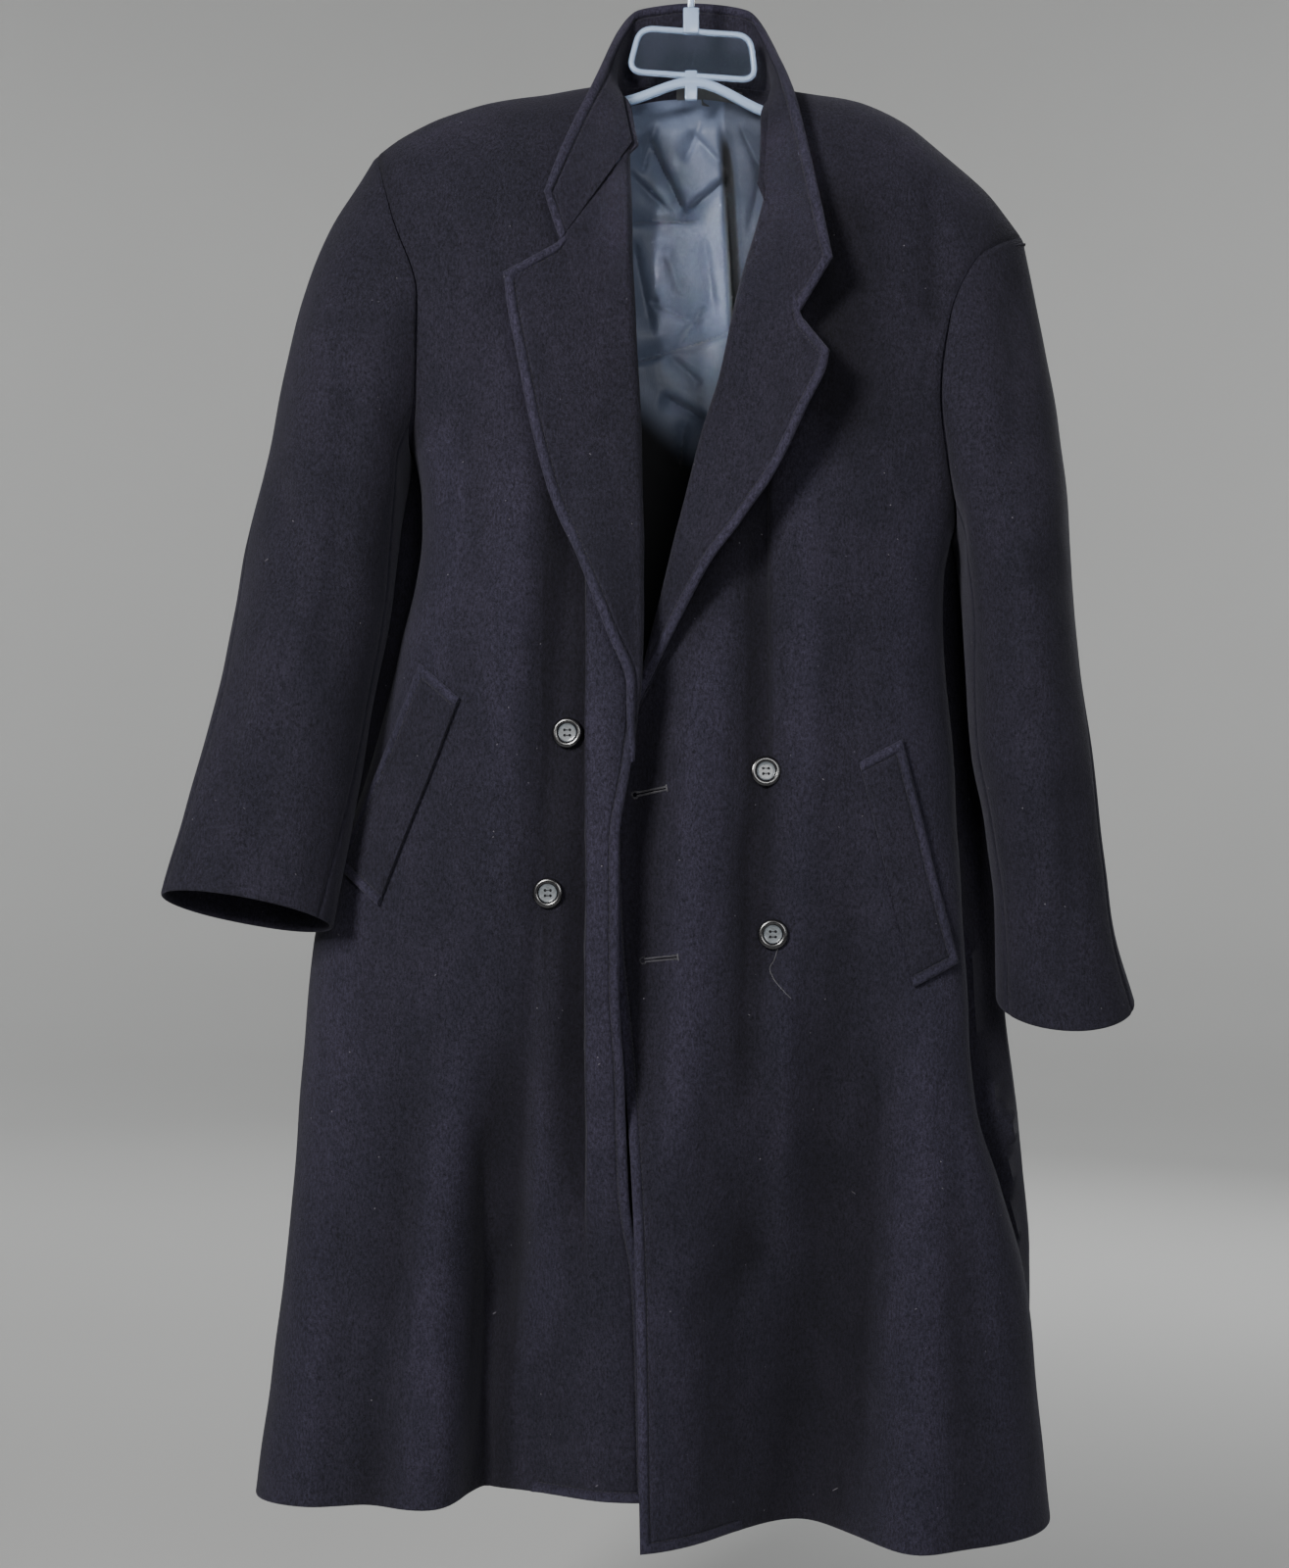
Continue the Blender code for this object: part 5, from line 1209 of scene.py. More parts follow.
def trace(away, stitched, edge, inset, *sheets):
    """Points of sheets along a line at a set distance inside an edge, where no other edge comes nearer."""
    down = edge in ("first", "last")
    from_edge = away[edge] if down else away[edge].T
    fields = [field if down else field.swapaxes(0, 1) for field in (*sheets, stitched[..., None])]
    if edge in ("last", "foot"):
        from_edge = from_edge[:, ::-1]
        fields = [field[:, ::-1] for field in fields]
    order = np.arange(from_edge.shape[1], dtype=float)
    place = np.array([np.interp(inset, row, order) for row in from_edge])
    low = np.clip(place.astype(int), 0, len(order) - 2)
    share = (place - low)[:, None]
    line = np.arange(len(place))
    found = [field[line, low] * (1 - share) + field[line, low + 1] * share for field in fields]
    kept = abs(found[-1][:, 0] - inset) < STITCH_SLIP
    return [field[kept] for field in found[:-1]]


def cloth(
    name, node, sheet, outward, thickness, edged=(), sewn=(), turned=(), extra=None,
    look="brushed_wool", sides=(1,), wavy=1.0, shaded=None, painted_ridge_highlight=0.0,
):
    """A wall of cloth with rounded finished edges, a stitched groove inside them and a dip at each seam."""
    sizes = bpy.context.scene.coat_sizes
    away = away_from_edges(sheet)
    extra = extra or {}
    thickness = np.broadcast_to(thickness, sheet.shape[:2])
    stitched = nearest(away, edged, extra)
    finished = nearest(away, (*edged, *turned), {})
    seam = nearest(away, sewn, {})
    off_edge = np.clip(finished / (thickness * EDGE_TURN), 0, 1)
    round_off = EDGE_FALL * thickness * (1 - np.sqrt(1 - (1 - off_edge) ** 2))
    groove = sizes.groove * np.exp(-(((stitched - sizes.inset) / GROOVE_HALF) ** 2))
    swell = sizes.swell * np.sin(np.pi * np.clip(stitched / sizes.inset, 0, 1))
    dip = sizes.seam_dip * np.exp(-((seam / SEAM_HALF) ** 2))
    wave = ripples(sheet) * wavy
    raised = (wave + swell - groove - round_off - dip)[..., None]
    hidden = (thickness - wave - round_off - groove + swell)[..., None]
    outer, inner = sheet + outward * raised, sheet - outward * hidden
    mesh = wall_mesh(name, outer, inner)
    # Painted highlight: the band from a finished edge to its stitching, and any ridges given, are made
    # lighter in the finish
    paint(mesh, "rubbed", np.maximum(ease(HIGHLIGHT_REACH - stitched / sizes.inset) ** 0.5, painted_ridge_highlight))
    if shaded is not None:
        paint(mesh, "shaded", shaded)
    made = piece(name, mesh, look, (node,) if node else ())
    quads = np.cross(sheet[1:, 1:] - sheet[:-1, :-1], sheet[1:, :-1] - sheet[:-1, 1:])
    for edge in edged:
        for side in sides:
            face = outer if side > 0 else inner
            points, ways = trace(away, stitched, edge, sizes.inset, face, outward * side)
            if len(points) > 3:
                STITCH_LINES.append((points, ways))
    return made


def stitch_mesh(name, spots, sides=6):
    """Many short stitches: each spot is a middle, a half length along the thread, a way up and a radius."""
    rings = np.array([(-0.72, 0.75), (0.0, 1.0), (0.72, 0.75)])
    sink = 1.2
    turn = np.arange(sides) * 2 * np.pi / sides
    points, faces = [], []
    size = len(rings) * sides + 2
    for middle, half, up, radius in spots:
        along = half / np.linalg.norm(half)
        side = np.cross(along, up)
        side = side / np.linalg.norm(side)
        over = np.cross(side, along)
        start = len(points)
        points.append(middle - half - over * radius * sink)
        for place, share in rings:
            sunk = over * radius * (1 - sink * place * place)
            spoke = np.cos(turn)[:, None] * side + np.sin(turn)[:, None] * over
            points.extend(middle + half * place + sunk + spoke * radius * share)
        points.append(middle + half - over * radius * sink)
        for k in range(sides):
            after = (k + 1) % sides
            faces.append((start, start + 1 + k, start + 1 + after))
            for ring in range(len(rings) - 1):
                base = start + 1 + ring * sides
                faces.append((base + k, base + sides + k, base + sides + after, base + after))
            base = start + 1 + (len(rings) - 1) * sides
            faces.append((start + size - 1, base + after, base + k))
    return mesh_from(name, np.array(points).tolist(), faces, 180)


def tube(paths, radius, sides=8):
    """Points and faces of round threads along paths, with closed ends."""
    points, faces = [], []
    for path in paths:
        path = np.asarray(path, float)
        along = unit(np.gradient(path, axis=0))
        across = np.cross(along[0], (0.31, 0.52, 0.79))
        turn = np.arange(sides) * 2 * np.pi / sides
        start = len(points)
        for spot, way in zip(path, along):
            across = across - way * (across @ way)
            across = across / np.linalg.norm(across)
            beside = np.cross(way, across)
            points.extend(spot + radius * (np.cos(turn)[:, None] * across + np.sin(turn)[:, None] * beside))
        for i in range(len(path) - 1):
            base = start + i * sides
            for k in range(sides):
                after = (k + 1) % sides
                faces.append((base + k, base + after, base + sides + after, base + sides + k))
        faces.append(tuple(range(start + sides - 1, start - 1, -1)))
        last = start + (len(path) - 1) * sides
        faces.append(tuple(range(last, last + sides)))
    return np.array(points).tolist(), faces


def curve_through(spots, count):
    """A smooth run of points through a few."""
    spots = np.asarray(spots, float)
    order = np.arange(len(spots), dtype=float)
    at = np.linspace(0, order[-1], count)
    return np.stack([smooth(order, spots[:, k], at) for k in range(spots.shape[1])], axis=-1)


def on_front(half, x, z, clear=0.0):
    """Points on a front, some way in front of it, and its normals there."""
    x, z = np.broadcast_arrays(np.asarray(x, float), np.asarray(z, float))
    step = 0.002
    slope_x = (front_y(half, x + step, z) - front_y(half, x - step, z)) / (2 * step)
    slope_z = (front_y(half, x, z + step) - front_y(half, x, z - step)) / (2 * step)
    outward = unit(np.stack([slope_x, -np.ones_like(x), slope_z], axis=-1))
    return np.stack([x, front_y(half, x, z), z], axis=-1) + outward * clear, outward


BODY = {}


def body(half):
    """Sheets and normals of a half's front, back and sleeve, agreeing where they are sewn together."""
    if half.name in BODY:
        return BODY[half.name]
    front, back = front_sheet(half), back_sheet(half)
    front_n, back_n = normals(front, (0, -1, 0)), normals(back, (0, 1, 0))
    armpit = int(np.argmin(abs(front[:, -1, 2] - half.armhole_front[-1].z)))
    front_n[armpit:, -1], back_n[armpit:, -1] = meet(front_n[armpit:, -1], back_n[armpit:, -1])
    for sheet, sheet_n in ((front, front_n), (back, back_n)):
        set_shoulder_normals(half, sheet, sheet_n)
    back_n[:, 0] = unit(back_n[:, 0] * (0, 1, 1))
    round_again = tuple(angle + 360 for angle in ELBOW_SEAM)
    upper = sleeve_sheet(half, ELBOW_SEAM, FOREARM_SEAM, UPPER_COLUMNS)
    under = sleeve_sheet(half, FOREARM_SEAM, round_again, UNDER_COLUMNS)
    upper_n, under_n = sleeve_normals(half, upper), sleeve_normals(half, under)
    upper_n[:, -1], under_n[:, 0] = meet(upper_n[:, -1], under_n[:, 0])
    upper_n[:, 0], under_n[:, -1] = meet(upper_n[:, 0], under_n[:, -1])
    creases = RIGHT_SLEEVE_CREASES if half.sign < 0 else LEFT_SLEEVE_CREASES
    for sheet, sheet_n in ((upper, upper_n), (under, under_n)):
        facing = ease((-sheet_n[..., 1] - 0.1) / 0.5)
        sheet -= sheet_n * (crease_depth(creases, sheet[..., 0], sheet[..., 2]) * facing)[..., None]
        for edge, beside in ((0, 1), (-1, -2)):
            sheet[:, edge] += unit(sheet[:, beside] - sheet[:, edge]) * SEAM / 2
    BODY[half.name] = {
        "front": (front, front_n), "back": (back, back_n),
        "upper": (upper, upper_n), "under": (under, under_n),
    }
    return BODY[half.name]


def set_shoulder_normals(half, sheet, sheet_n):
    """Both panels end square to the shoulder seam, past the neck point."""
    x = sheet[0, :, 0]
    step = 0.004
    rise = column(half.shoulder, "x", "z", x + step) - column(half.shoulder, "x", "z", x - step)
    square = unit(np.stack([-rise / (2 * step), np.zeros_like(x), np.ones_like(x)], axis=-1))
    on_seam = abs(x) >= abs(half.shoulder[0].x) - 1e-6
    sheet_n[0, on_seam] = square[on_seam]


def sleeve_normals(half, sheet):
    """Normals of a piece of sleeve, away from the middle of its ring."""
    found = normals(sheet, (0, 0, 1))
    ring = sleeve_ring(half, len(half.rings) - 1, np.radians(np.arange(0, 360, 30.0)))
    outside = ((sheet[-1] - ring.mean(axis=0)) * found[-1]).sum(axis=-1).mean() > 0
    return found if outside else -found


def lining_grid(field, where=None):
    """Values of both backs' grid read on the lining's own rows and columns, finest behind the open neck."""
    where = field if where is None else where
    fine = np.arange(LINING_FINE_X[0], LINING_FINE_X[1], LINING_STEP)
    sides = np.linspace(0, 1, LINING_SIDES + 1)
    first, last = where[..., 0].min(axis=1) + LINING_SIDE, where[..., 0].max(axis=1) - LINING_SIDE
    middle = where[:, where.shape[1] // 2, 2]
    kept = (middle < LINING_TOP_Z) & (where[:, 0, 2] > BACK_HEM_Z + LINING_HEM_RISE)
    middle = middle[kept]
    rows = []
    for row, places, low, high in zip(field[kept], where[kept], first[kept], last[kept]):
        before = low + (fine[0] - low) * sides[:-1]
        after = fine[-1] + (high - fine[-1]) * sides[1:]
        x = np.concatenate([before, fine, after])
        rows.append(np.stack([np.interp(x, places[:, 0], row[:, k]) for k in range(3)], axis=-1))
    fine_z = np.arange(middle[0], LINING_FINE_Z, -LINING_STEP)
    low_z = np.linspace(LINING_FINE_Z, middle[-1], LINING_LOW_ROWS)[1:]
    return rows_at(np.array(rows), middle, np.concatenate([fine_z, low_z]))


def eased(rows):
    """Rows of values, each averaged with those beside it, so that no seam shows through."""
    wide = np.pad(rows, ((0, 0), (LINING_EASE + 1, LINING_EASE)) + ((0, 0),) * (rows.ndim - 2), mode="edge")
    total = np.cumsum(wide, axis=1)
    return (total[:, 2 * LINING_EASE + 1:] - total[:, : -2 * LINING_EASE - 1]) / (2 * LINING_EASE + 1)


def button_place(place):
    """Where a button lies on its front, its own Z away from the cloth."""
    spot, outward = on_front(place.half, place.x, place.z, BUTTON_CLEAR)
    reach = np.array([-BUTTON_REST, 0, BUTTON_REST]) * BUTTON_RADIUS
    around, ways = on_front(place.half, place.x + reach[:, None], place.z + reach[None, :])
    outward = Vector(unit(ways.reshape(-1, 3).mean(axis=0)))
    rest = min(float(spot[1]), float(around[..., 1].mean()) - BUTTON_CLEAR)
    return Matrix.Translation((place.x, rest, place.z)) @ outward.to_track_quat("Z", "Y").to_matrix().to_4x4()


def button_mesh():
    """A turned four-hole button, its back on the plane z = 0."""
    steps, order = 64, np.arange(len(BUTTON_PROFILE), dtype=float)
    fine = np.unique(np.concatenate([order, np.linspace(0, order[-1], 45)]))
    section = np.stack([smooth(order, [p[k] for p in BUTTON_PROFILE], fine) for k in (0, 1)], axis=-1)
    mesh = bpy.data.meshes.new("button_section")
    mesh.from_pydata([(r, 0, z) for r, z in section], [(i, i + 1) for i in range(len(section) - 1)], [])
    helper = linked("button_section", mesh)
    turned = helper.modifiers.new("turned", "SCREW")
    turned.steps = turned.render_steps = steps
    turned.use_merge_vertices = True
    turned.merge_threshold = 0.00002
    bm = bmesh.new()
    for x in (-HOLE_SPREAD, HOLE_SPREAD):
        for y in (-HOLE_SPREAD, HOLE_SPREAD):
            bmesh.ops.create_cone(
                bm, cap_ends=True, segments=24, radius1=HOLE_RADIUS, radius2=HOLE_RADIUS,
                depth=BUTTON_THICK * 4, matrix=Matrix.Translation((x, y, 0)),
            )
    cutter_mesh = bpy.data.meshes.new("button_holes")
    bm.to_mesh(cutter_mesh)
    bm.free()
    cutter = linked("button_holes", cutter_mesh)
    holes = helper.modifiers.new("holes", "BOOLEAN")
    holes.operation = "DIFFERENCE"
    holes.object = cutter
    made = mesh_of(helper)
    bpy.data.objects.remove(cutter)
    made.shade_smooth()
    made.set_sharp_from_angle(angle=math.radians(40))
    return made


def thread_on(half, middle, reach, radius):
    """A stitch lying on a front, for stitch_mesh."""
    ends, ways = on_front(half, *np.stack([middle - reach, middle, middle + reach], axis=-1), radius * 0.6)
    return ends[1], (ends[2] - ends[0]) / 2, ways[1], radius


def mesh_of(helper):
    """The helper's mesh with its modifiers applied. The helper is removed."""
    bpy.context.view_layer.update()
    graph = bpy.context.evaluated_depsgraph_get()
    mesh = bpy.data.meshes.new_from_object(helper.evaluated_get(graph), depsgraph=graph)
    mesh.transform(helper.matrix_world)
    bpy.data.objects.remove(helper)
    return mesh


def wire(points, radius, closed=False):
    """A round bar along points."""
    curve = bpy.data.curves.new("wire", "CURVE")
    curve.dimensions = "3D"
    curve.bevel_depth = radius
    curve.bevel_resolution = 6
    curve.use_fill_caps = not closed
    spline = curve.splines.new("POLY")
    spline.points.add(len(points) - 1)
    for target, point in zip(spline.points, points):
        target.co = (*point, 1)
    spline.use_cyclic_u = closed
    return mesh_of(linked("wire", curve))


def block(size, centre):
    """A box with rounded edges."""
    bm = bmesh.new()
    bmesh.ops.create_cube(bm, size=1)
    bmesh.ops.scale(bm, vec=size, verts=bm.verts)
    bmesh.ops.bevel(bm, geom=bm.edges[:], offset=min(size) * 0.18, segments=4, profile=0.5, affect="EDGES")
    bmesh.ops.translate(bm, vec=centre, verts=bm.verts)
    mesh = bpy.data.meshes.new("block")
    bm.to_mesh(mesh)
    bm.free()
    return mesh


def united(meshes):
    """One mesh from overlapping ones."""
    base = linked("united", meshes[0])
    others = []
    for mesh in meshes[1:]:
        other = linked("joined", mesh)
        join = base.modifiers.new("join", "BOOLEAN")
        join.operation = "UNION"
        join.object = other
        others.append(other)
    mesh = mesh_of(base)
    for other in others:
        bpy.data.objects.remove(other)
    mesh.shade_smooth()
    mesh.set_sharp_from_angle(angle=math.radians(40))
    return mesh


def rounded_frame():
    """Points of the hanger's trapezoid frame with round corners, tilted as it hangs."""
    half_top, half_low = FRAME_TOP_WIDTH / 2, FRAME_LOW_WIDTH / 2
    high, low = FRAME_HEIGHT / 2, -FRAME_HEIGHT / 2
    corners = [(half_top, high), (-half_top, high), (-half_low, low), (half_low, low)]
    points = []
    for i, corner in enumerate(corners):
        here = np.array(corner)
        before = unit(np.array(corners[i - 1]) - here) * FRAME_CORNER
        after = unit(np.array(corners[(i + 1) % 4]) - here) * FRAME_CORNER
        for share in np.linspace(0, 1, 11):
            points.append(here + before * (1 - share) ** 2 + after * share**2)
    tilt = math.radians(-FRAME_TILT)
    turn = np.array([[math.cos(tilt), -math.sin(tilt)], [math.sin(tilt), math.cos(tilt)]])
    return [(FRAME_CENTRE_X + p[0], 0.0, FRAME_CENTRE_Z + p[1]) for p in (turn @ q for q in points)]


def plate(points, thickness):
    """A flat plate filling a loop of points in the XZ plane."""
    curve = bpy.data.curves.new("plate", "CURVE")
    curve.dimensions = "2D"
    curve.fill_mode = "BOTH"
    curve.extrude = thickness / 2
    spline = curve.splines.new("POLY")
    spline.points.add(len(points) - 1)
    for target, point in zip(spline.points, points):
        target.co = (point[0], point[2], 0, 1)
    spline.use_cyclic_u = True
    helper = linked("plate", curve)
    helper.rotation_euler = (math.pi / 2, 0, 0)
    return mesh_of(helper)


# Sizes and colours that the panel shows


def length(name, description, default):
    return bpy.props.FloatProperty(
        name=name, description=description, default=default, precision=5, unit="LENGTH"
    )


def colour(name, description, default):
    return bpy.props.FloatVectorProperty(
        name=name, description=description, default=default, size=3, min=0, max=1, subtype="COLOR"
    )


class OvercoatSizes(bpy.types.PropertyGroup):
    """Sizes of the sewing"""

    inset: length("Stitch inset", "How far topstitching runs inside a finished edge", 0.0085)
    groove: length("Groove", "How deep topstitching draws the cloth in", 0.0013)
    swell: length("Swell", "How far the cloth stands up between edge and stitching", 0.0012)
    seam_dip: length("Seam dip", "How far the cloth falls in at a seam", 0.0010)
    stitch: length("Stitch", "Length of one stitch", 0.0031)
    pitch: length("Stitch pitch", "From one stitch to the next", 0.0040)
    thread: length("Thread", "Radius of the thread", 0.00026)


class OvercoatColours(bpy.types.PropertyGroup):
    """Colours of the materials"""

    wool: colour("Wool", "Overcoating", (0.0103, 0.0096, 0.0153))
    sheen: colour("Sheen", "Light caught by the nap", (0.50, 0.50, 0.62))
    lint: colour("Lint", "Pale fluff on the cloth", (0.16, 0.15, 0.17))
    lining: colour("Lining", "Satin inside the coat", (0.074, 0.092, 0.142))
    button: colour("Button", "Middle of a button", (0.050, 0.060, 0.069))
    rim: colour("Rim", "Rim of a button", (0.004, 0.004, 0.005))
    thread: colour("Thread", "Topstitching", (0.0055, 0.0053, 0.0085))
    twist: colour("Twist", "Buttonhole twist", (0.028, 0.027, 0.034))
    label: colour("Label", "Blank woven label", (0.012, 0.012, 0.015))
    clear: colour("Clear", "Hanger", (0.86, 0.92, 0.97))
    floor: colour("Floor", "Floor and walls", (0.46, 0.465, 0.46))


# One operator for each group of like pieces


def fold_shade_and_highlight(half, x, z):
    """Painted shade in the folds and in the lapel's shadow, and painted highlight on the ridges."""
    low, high = x.min(axis=1, keepdims=True), x.max(axis=1, keepdims=True)
    around = [front_y(half, np.clip(x + reach, low, high), z) for reach in FOLD_REACH]
    sunk = (front_y(half, x, z) - sum(around) / len(around)) / FOLD_RANGE
    painted_shade = HOLLOW_SHADE * ease(sunk)
    for fold in PAINTED_SHADOWS[half.name]:
        painted_shade = np.maximum(painted_shade, crease_depth([fold], x, z))
    return painted_shade, RIDGE_HIGHLIGHT * ease(-sunk)


class OVERCOAT_OT_fronts(bpy.types.Operator):
    """Both fronts, stitched along the front edge and round the corner of the hem"""

    bl_idname = "overcoat.fronts"
    bl_label = "Fronts"

    def execute(self, context):
        for half in (RIGHT, LEFT):
            sheet, outward = body(half)["front"]
            away = away_from_edges(sheet)
            break_z = half.leaves[-1].roll_z
            extra = {
                "first": STITCH_OFF * ease((sheet[..., 2] - break_z) / STITCH_FADE),
                "foot": STITCH_OFF * ease((away["first"] - FACING_WIDTH) / STITCH_FADE),
            }
            # Painted shade in the folds and in the lapel's shadow, painted highlight on the ridges
            painted_shade, painted_ridge_highlight = fold_shade_and_highlight(half, sheet[..., 0], sheet[..., 2])
            cloth(
                f"{half.name}_front_cloth", f"{half.name}_front", sheet, outward, WOOL,
                edged=("first", "foot"), sewn=("top", "last"), turned=("foot",), extra=extra,
                shaded=painted_shade, painted_ridge_highlight=painted_ridge_highlight,
            )
        return {"FINISHED"}


class OVERCOAT_OT_backs(bpy.types.Operator):
    """Both backs, sewn down the middle"""

    bl_idname = "overcoat.backs"
    bl_label = "Backs"

    def execute(self, context):
        for half in (RIGHT, LEFT):
            sheet, outward = body(half)["back"]
            cloth(
                f"{half.name}_back_cloth", f"{half.name}_back", sheet, outward, WOOL,
                sewn=("top", "first", "last"), turned=("foot",),
            )
        return {"FINISHED"}


class OVERCOAT_OT_sleeves(bpy.types.Operator):
    """Two-piece sleeves"""

    bl_idname = "overcoat.sleeves"
    bl_label = "Sleeves"

    def execute(self, context):
        for half in (RIGHT, LEFT):
            for part in ("upper", "under"):
                sheet, outward = body(half)[part]
                name = f"{half.name}_{part}_sleeve"
                cloth(
                    f"{name}_cloth", name, sheet, outward, WOOL,
                    sewn=("top", "first", "last"), turned=("foot",),
                )
            turns = np.linspace(0, 2 * math.pi, 121)[:, None]
            seam = armhole_ring(half, turns)
            around = unit((seam - seam.mean(axis=(0, 1))) * (0, 1, 1))
            across = np.linspace(*ALLOWANCE_SPAN, 6)[:, None] * np.array([half.sign, 0, 0])
            cloth(
                f"{half.name}_armhole_allowance", None, seam - around * ALLOWANCE_CLEAR + across,
                around + 0 * across, FACING, wavy=0,
            )
        return {"FINISHED"}


class OVERCOAT_OT_lapels(bpy.types.Operator):
    """Notched lapels, turned back from the roll line"""

    bl_idname = "overcoat.lapels"
    bl_label = "Lapels"

    def execute(self, context):
        for half in (RIGHT, LEFT):
            sheet, thickness = lapel_sheet(half)
            outward = normals(sheet, (0, -1, 0))
            hidden = len(TAIL) + ROLL_TURNS - 1
            across = runs(sheet[:, hidden:], 1)
            share = np.concatenate([np.zeros((1, hidden)), (across / across[:, -1:])[:1]], axis=1)
            extra = {"top": STITCH_OFF * (share < NOTCH_AT)}
            cloth(
                f"{half.name}_lapel_cloth", f"{half.name}_lapel", sheet, outward, thickness,
                edged=("last", "top"), turned=("top",), extra=extra,
            )
        return {"FINISHED"}


class OVERCOAT_OT_collar(bpy.types.Operator):
    """Doubled collar, turned up behind and falling to the notches"""

    bl_idname = "overcoat.collar"
    bl_label = "Collar"

    def execute(self, context):
        sheet = collar_sheet()
        outward = normals(sheet, (0, 1, 0))
        middle = sheet.shape[1] // 2
        outward = outward if outward[0, middle, 1] > 0 else -outward
        cloth(
            "collar_cloth", "collar", sheet, outward, DOUBLED, edged=("top", "first", "last"), sewn=("foot",),
            sides=(1, -1),
        )
        for half, foot in ((RIGHT, sheet[-1]), (LEFT, sheet[-1, ::-1])):
            foot = foot[: middle + 1]
            edge = body(half)["front"][0][:, 0]
            z = np.linspace(*NECK_ALLOWANCE_Z[half.name], 60)
            lines = []
            for line in (edge, foot):
                line = line[np.argsort(line[:, 2])]
                lines.append(np.stack([np.interp(z, line[:, 2], line[:, k]) for k in range(3)], axis=-1))
            across = np.linspace(*NECK_ALLOWANCE_SPAN, 16)[None, :, None]
            strip = lines[0][:, None] + (lines[1] - lines[0])[:, None] * across
            outward = normals(strip, (half.sign * 0.5, -1, 0.5))
            cloth(
                f"{half.name}_neck_allowance", None, strip - outward * NECK_ALLOWANCE_CLEAR, outward,
                NECK_ALLOWANCE, wavy=0,
            )
        return {"FINISHED"}


class OVERCOAT_OT_welts(bpy.types.Operator):
    """Slanted pocket welts, stitched down at both ends"""

    bl_idname = "overcoat.welts"
    bl_label = "Pocket welts"

    def execute(self, context):
        for half, welt in ((RIGHT, RIGHT_WELT), (LEFT, LEFT_WELT)):
            wide = math.hypot(welt.sewn_top_x - welt.open_top_x, welt.sewn_top_z - welt.open_top_z)
            tall = math.hypot(welt.slant_x, welt.slant_z)
            across = (spaced(wide, EDGE_STEPS, SEAM_STEPS, WELT_COLUMNS) / wide)[None, :]
            down = (spaced(tall, EDGE_STEPS, EDGE_STEPS, WELT_ROWS) / tall)[:, None]
            x = welt.open_top_x + (welt.sewn_top_x - welt.open_top_x) * across + welt.slant_x * down
            z = welt.open_top_z + (welt.sewn_top_z - welt.open_top_z) * across + welt.slant_z * down
            panel = np.stack([x, front_y(half, x, z), z], axis=-1)
            outward = normals(panel, (0, -1, 0))
            cloth(
                f"{half.name}_pocket_welt_cloth", f"{half.name}_pocket_welt", panel + outward * WELT_LIFT,
                outward, WELT, edged=("first", "top", "foot"), sewn=("last",),
            )
        return {"FINISHED"}


class OVERCOAT_OT_lining(bpy.types.Operator):
    """Creased satin lining inside the backs"""

    bl_idname = "overcoat.lining"
    bl_label = "Lining"

    def execute(self, context):
        whole, inward = inside_sheet()
        sheet, sheet_n = lining_grid(whole), lining_grid(inward, whole)
        fine = slice(LINING_SIDES, -LINING_SIDES)
        sheet[:, fine, 1] = eased(sheet[:, fine, 1])
        sheet_n[:, fine] = eased(sheet_n[:, fine])
        sheet_n = unit(sheet_n)
        x, z = sheet[..., 0], sheet[..., 2]
        in_neck = ease((x - LOOSE_X[0]) / LOOSE_EDGE) * ease((LOOSE_X[1] - x) / LOOSE_EDGE)
        in_neck = in_neck * ease((z - LOOSE_FOOT_Z) / LOOSE_FADE) * ease((LINING_TOP_Z - z) / LOOSE_EDGE)
        pleat = crease_depth([PLEAT], x, z)
        sunk = crease_depth(LINING_CREASES, x, z) + pleat
        slant = (PLEAT.low_x - PLEAT.top_x) / (PLEAT.low_z - PLEAT.top_z)
        beyond = BEYOND_SHADE * ease((x - PLEAT.top_x - slant * (z - PLEAT.top_z)) / BEYOND_EDGE)
        inside = ease((SHADE_Z - SHADE_SLANT * x - z) / SHADE_EDGE)
        shaded = np.maximum.reduce([ease(pleat / PLEAT.depth * PLEAT_SHADE), beyond, inside])
        lift = WOOL + LINING_CLEAR + LINING + (LINING_SLACK - sunk) * in_neck
        cloth(
            "back_lining_satin", "back_lining", sheet + sheet_n * lift[..., None], sheet_n, LINING,
            sewn=("top",), turned=("foot",), look="satin_lining",
            wavy=1.6, shaded=shaded,
        )
        return {"FINISHED"}


class OVERCOAT_OT_neck(bpy.types.Operator):
    """Facing inside the back neck, its blank label and the hanging loop"""

    bl_idname = "overcoat.neck"
    bl_label = "Neck"

    def execute(self, context):
        drop = spaced(FACING_DROP, SEAM_STEPS, HEM_STEPS, 6)
        facing = neck_strip(np.linspace(*FACING_SPAN, 60), drop, WOOL + FACING_CLEAR + FACING)
        cloth(
            "back_neck_facing_cloth", "back_neck_facing", facing, normals(facing, (0, -1, 0)), FACING,
            turned=("foot",), wavy=0.4,
        )
        label = neck_strip(np.linspace(*LABEL_SPAN, 40), np.linspace(LABEL_TOP, LABEL_FOOT, 12), LABEL_CLEAR)
        cloth(
            "neck_label_weave", "neck_label", label, normals(label, (0, -1, 0)), LABEL_THICK,
            turned=("top", "foot", "first", "last"), look="woven_label",
            wavy=0.5,
        )
        turns = np.linspace(0, math.pi, 40)
        along = (LOOP_SPAN[0] + LOOP_SPAN[1]) / 2 - (LOOP_SPAN[1] - LOOP_SPAN[0]) / 2 * np.cos(turns)
        loop = neck_strip(along, LOOP_TOP + np.linspace(-0.5, 0.5, 7) * LOOP_WIDTH, LOOP_CLEAR)
        loop[..., 2] -= LOOP_SAG * np.sin(turns)
        cloth(
            "hanging_loop_tape", "hanging_loop", loop, normals(loop, (0, -1, 0)), LOOP_THICK,
            turned=("top", "foot"), look="woven_label",
            wavy=0,
        )
        return {"FINISHED"}


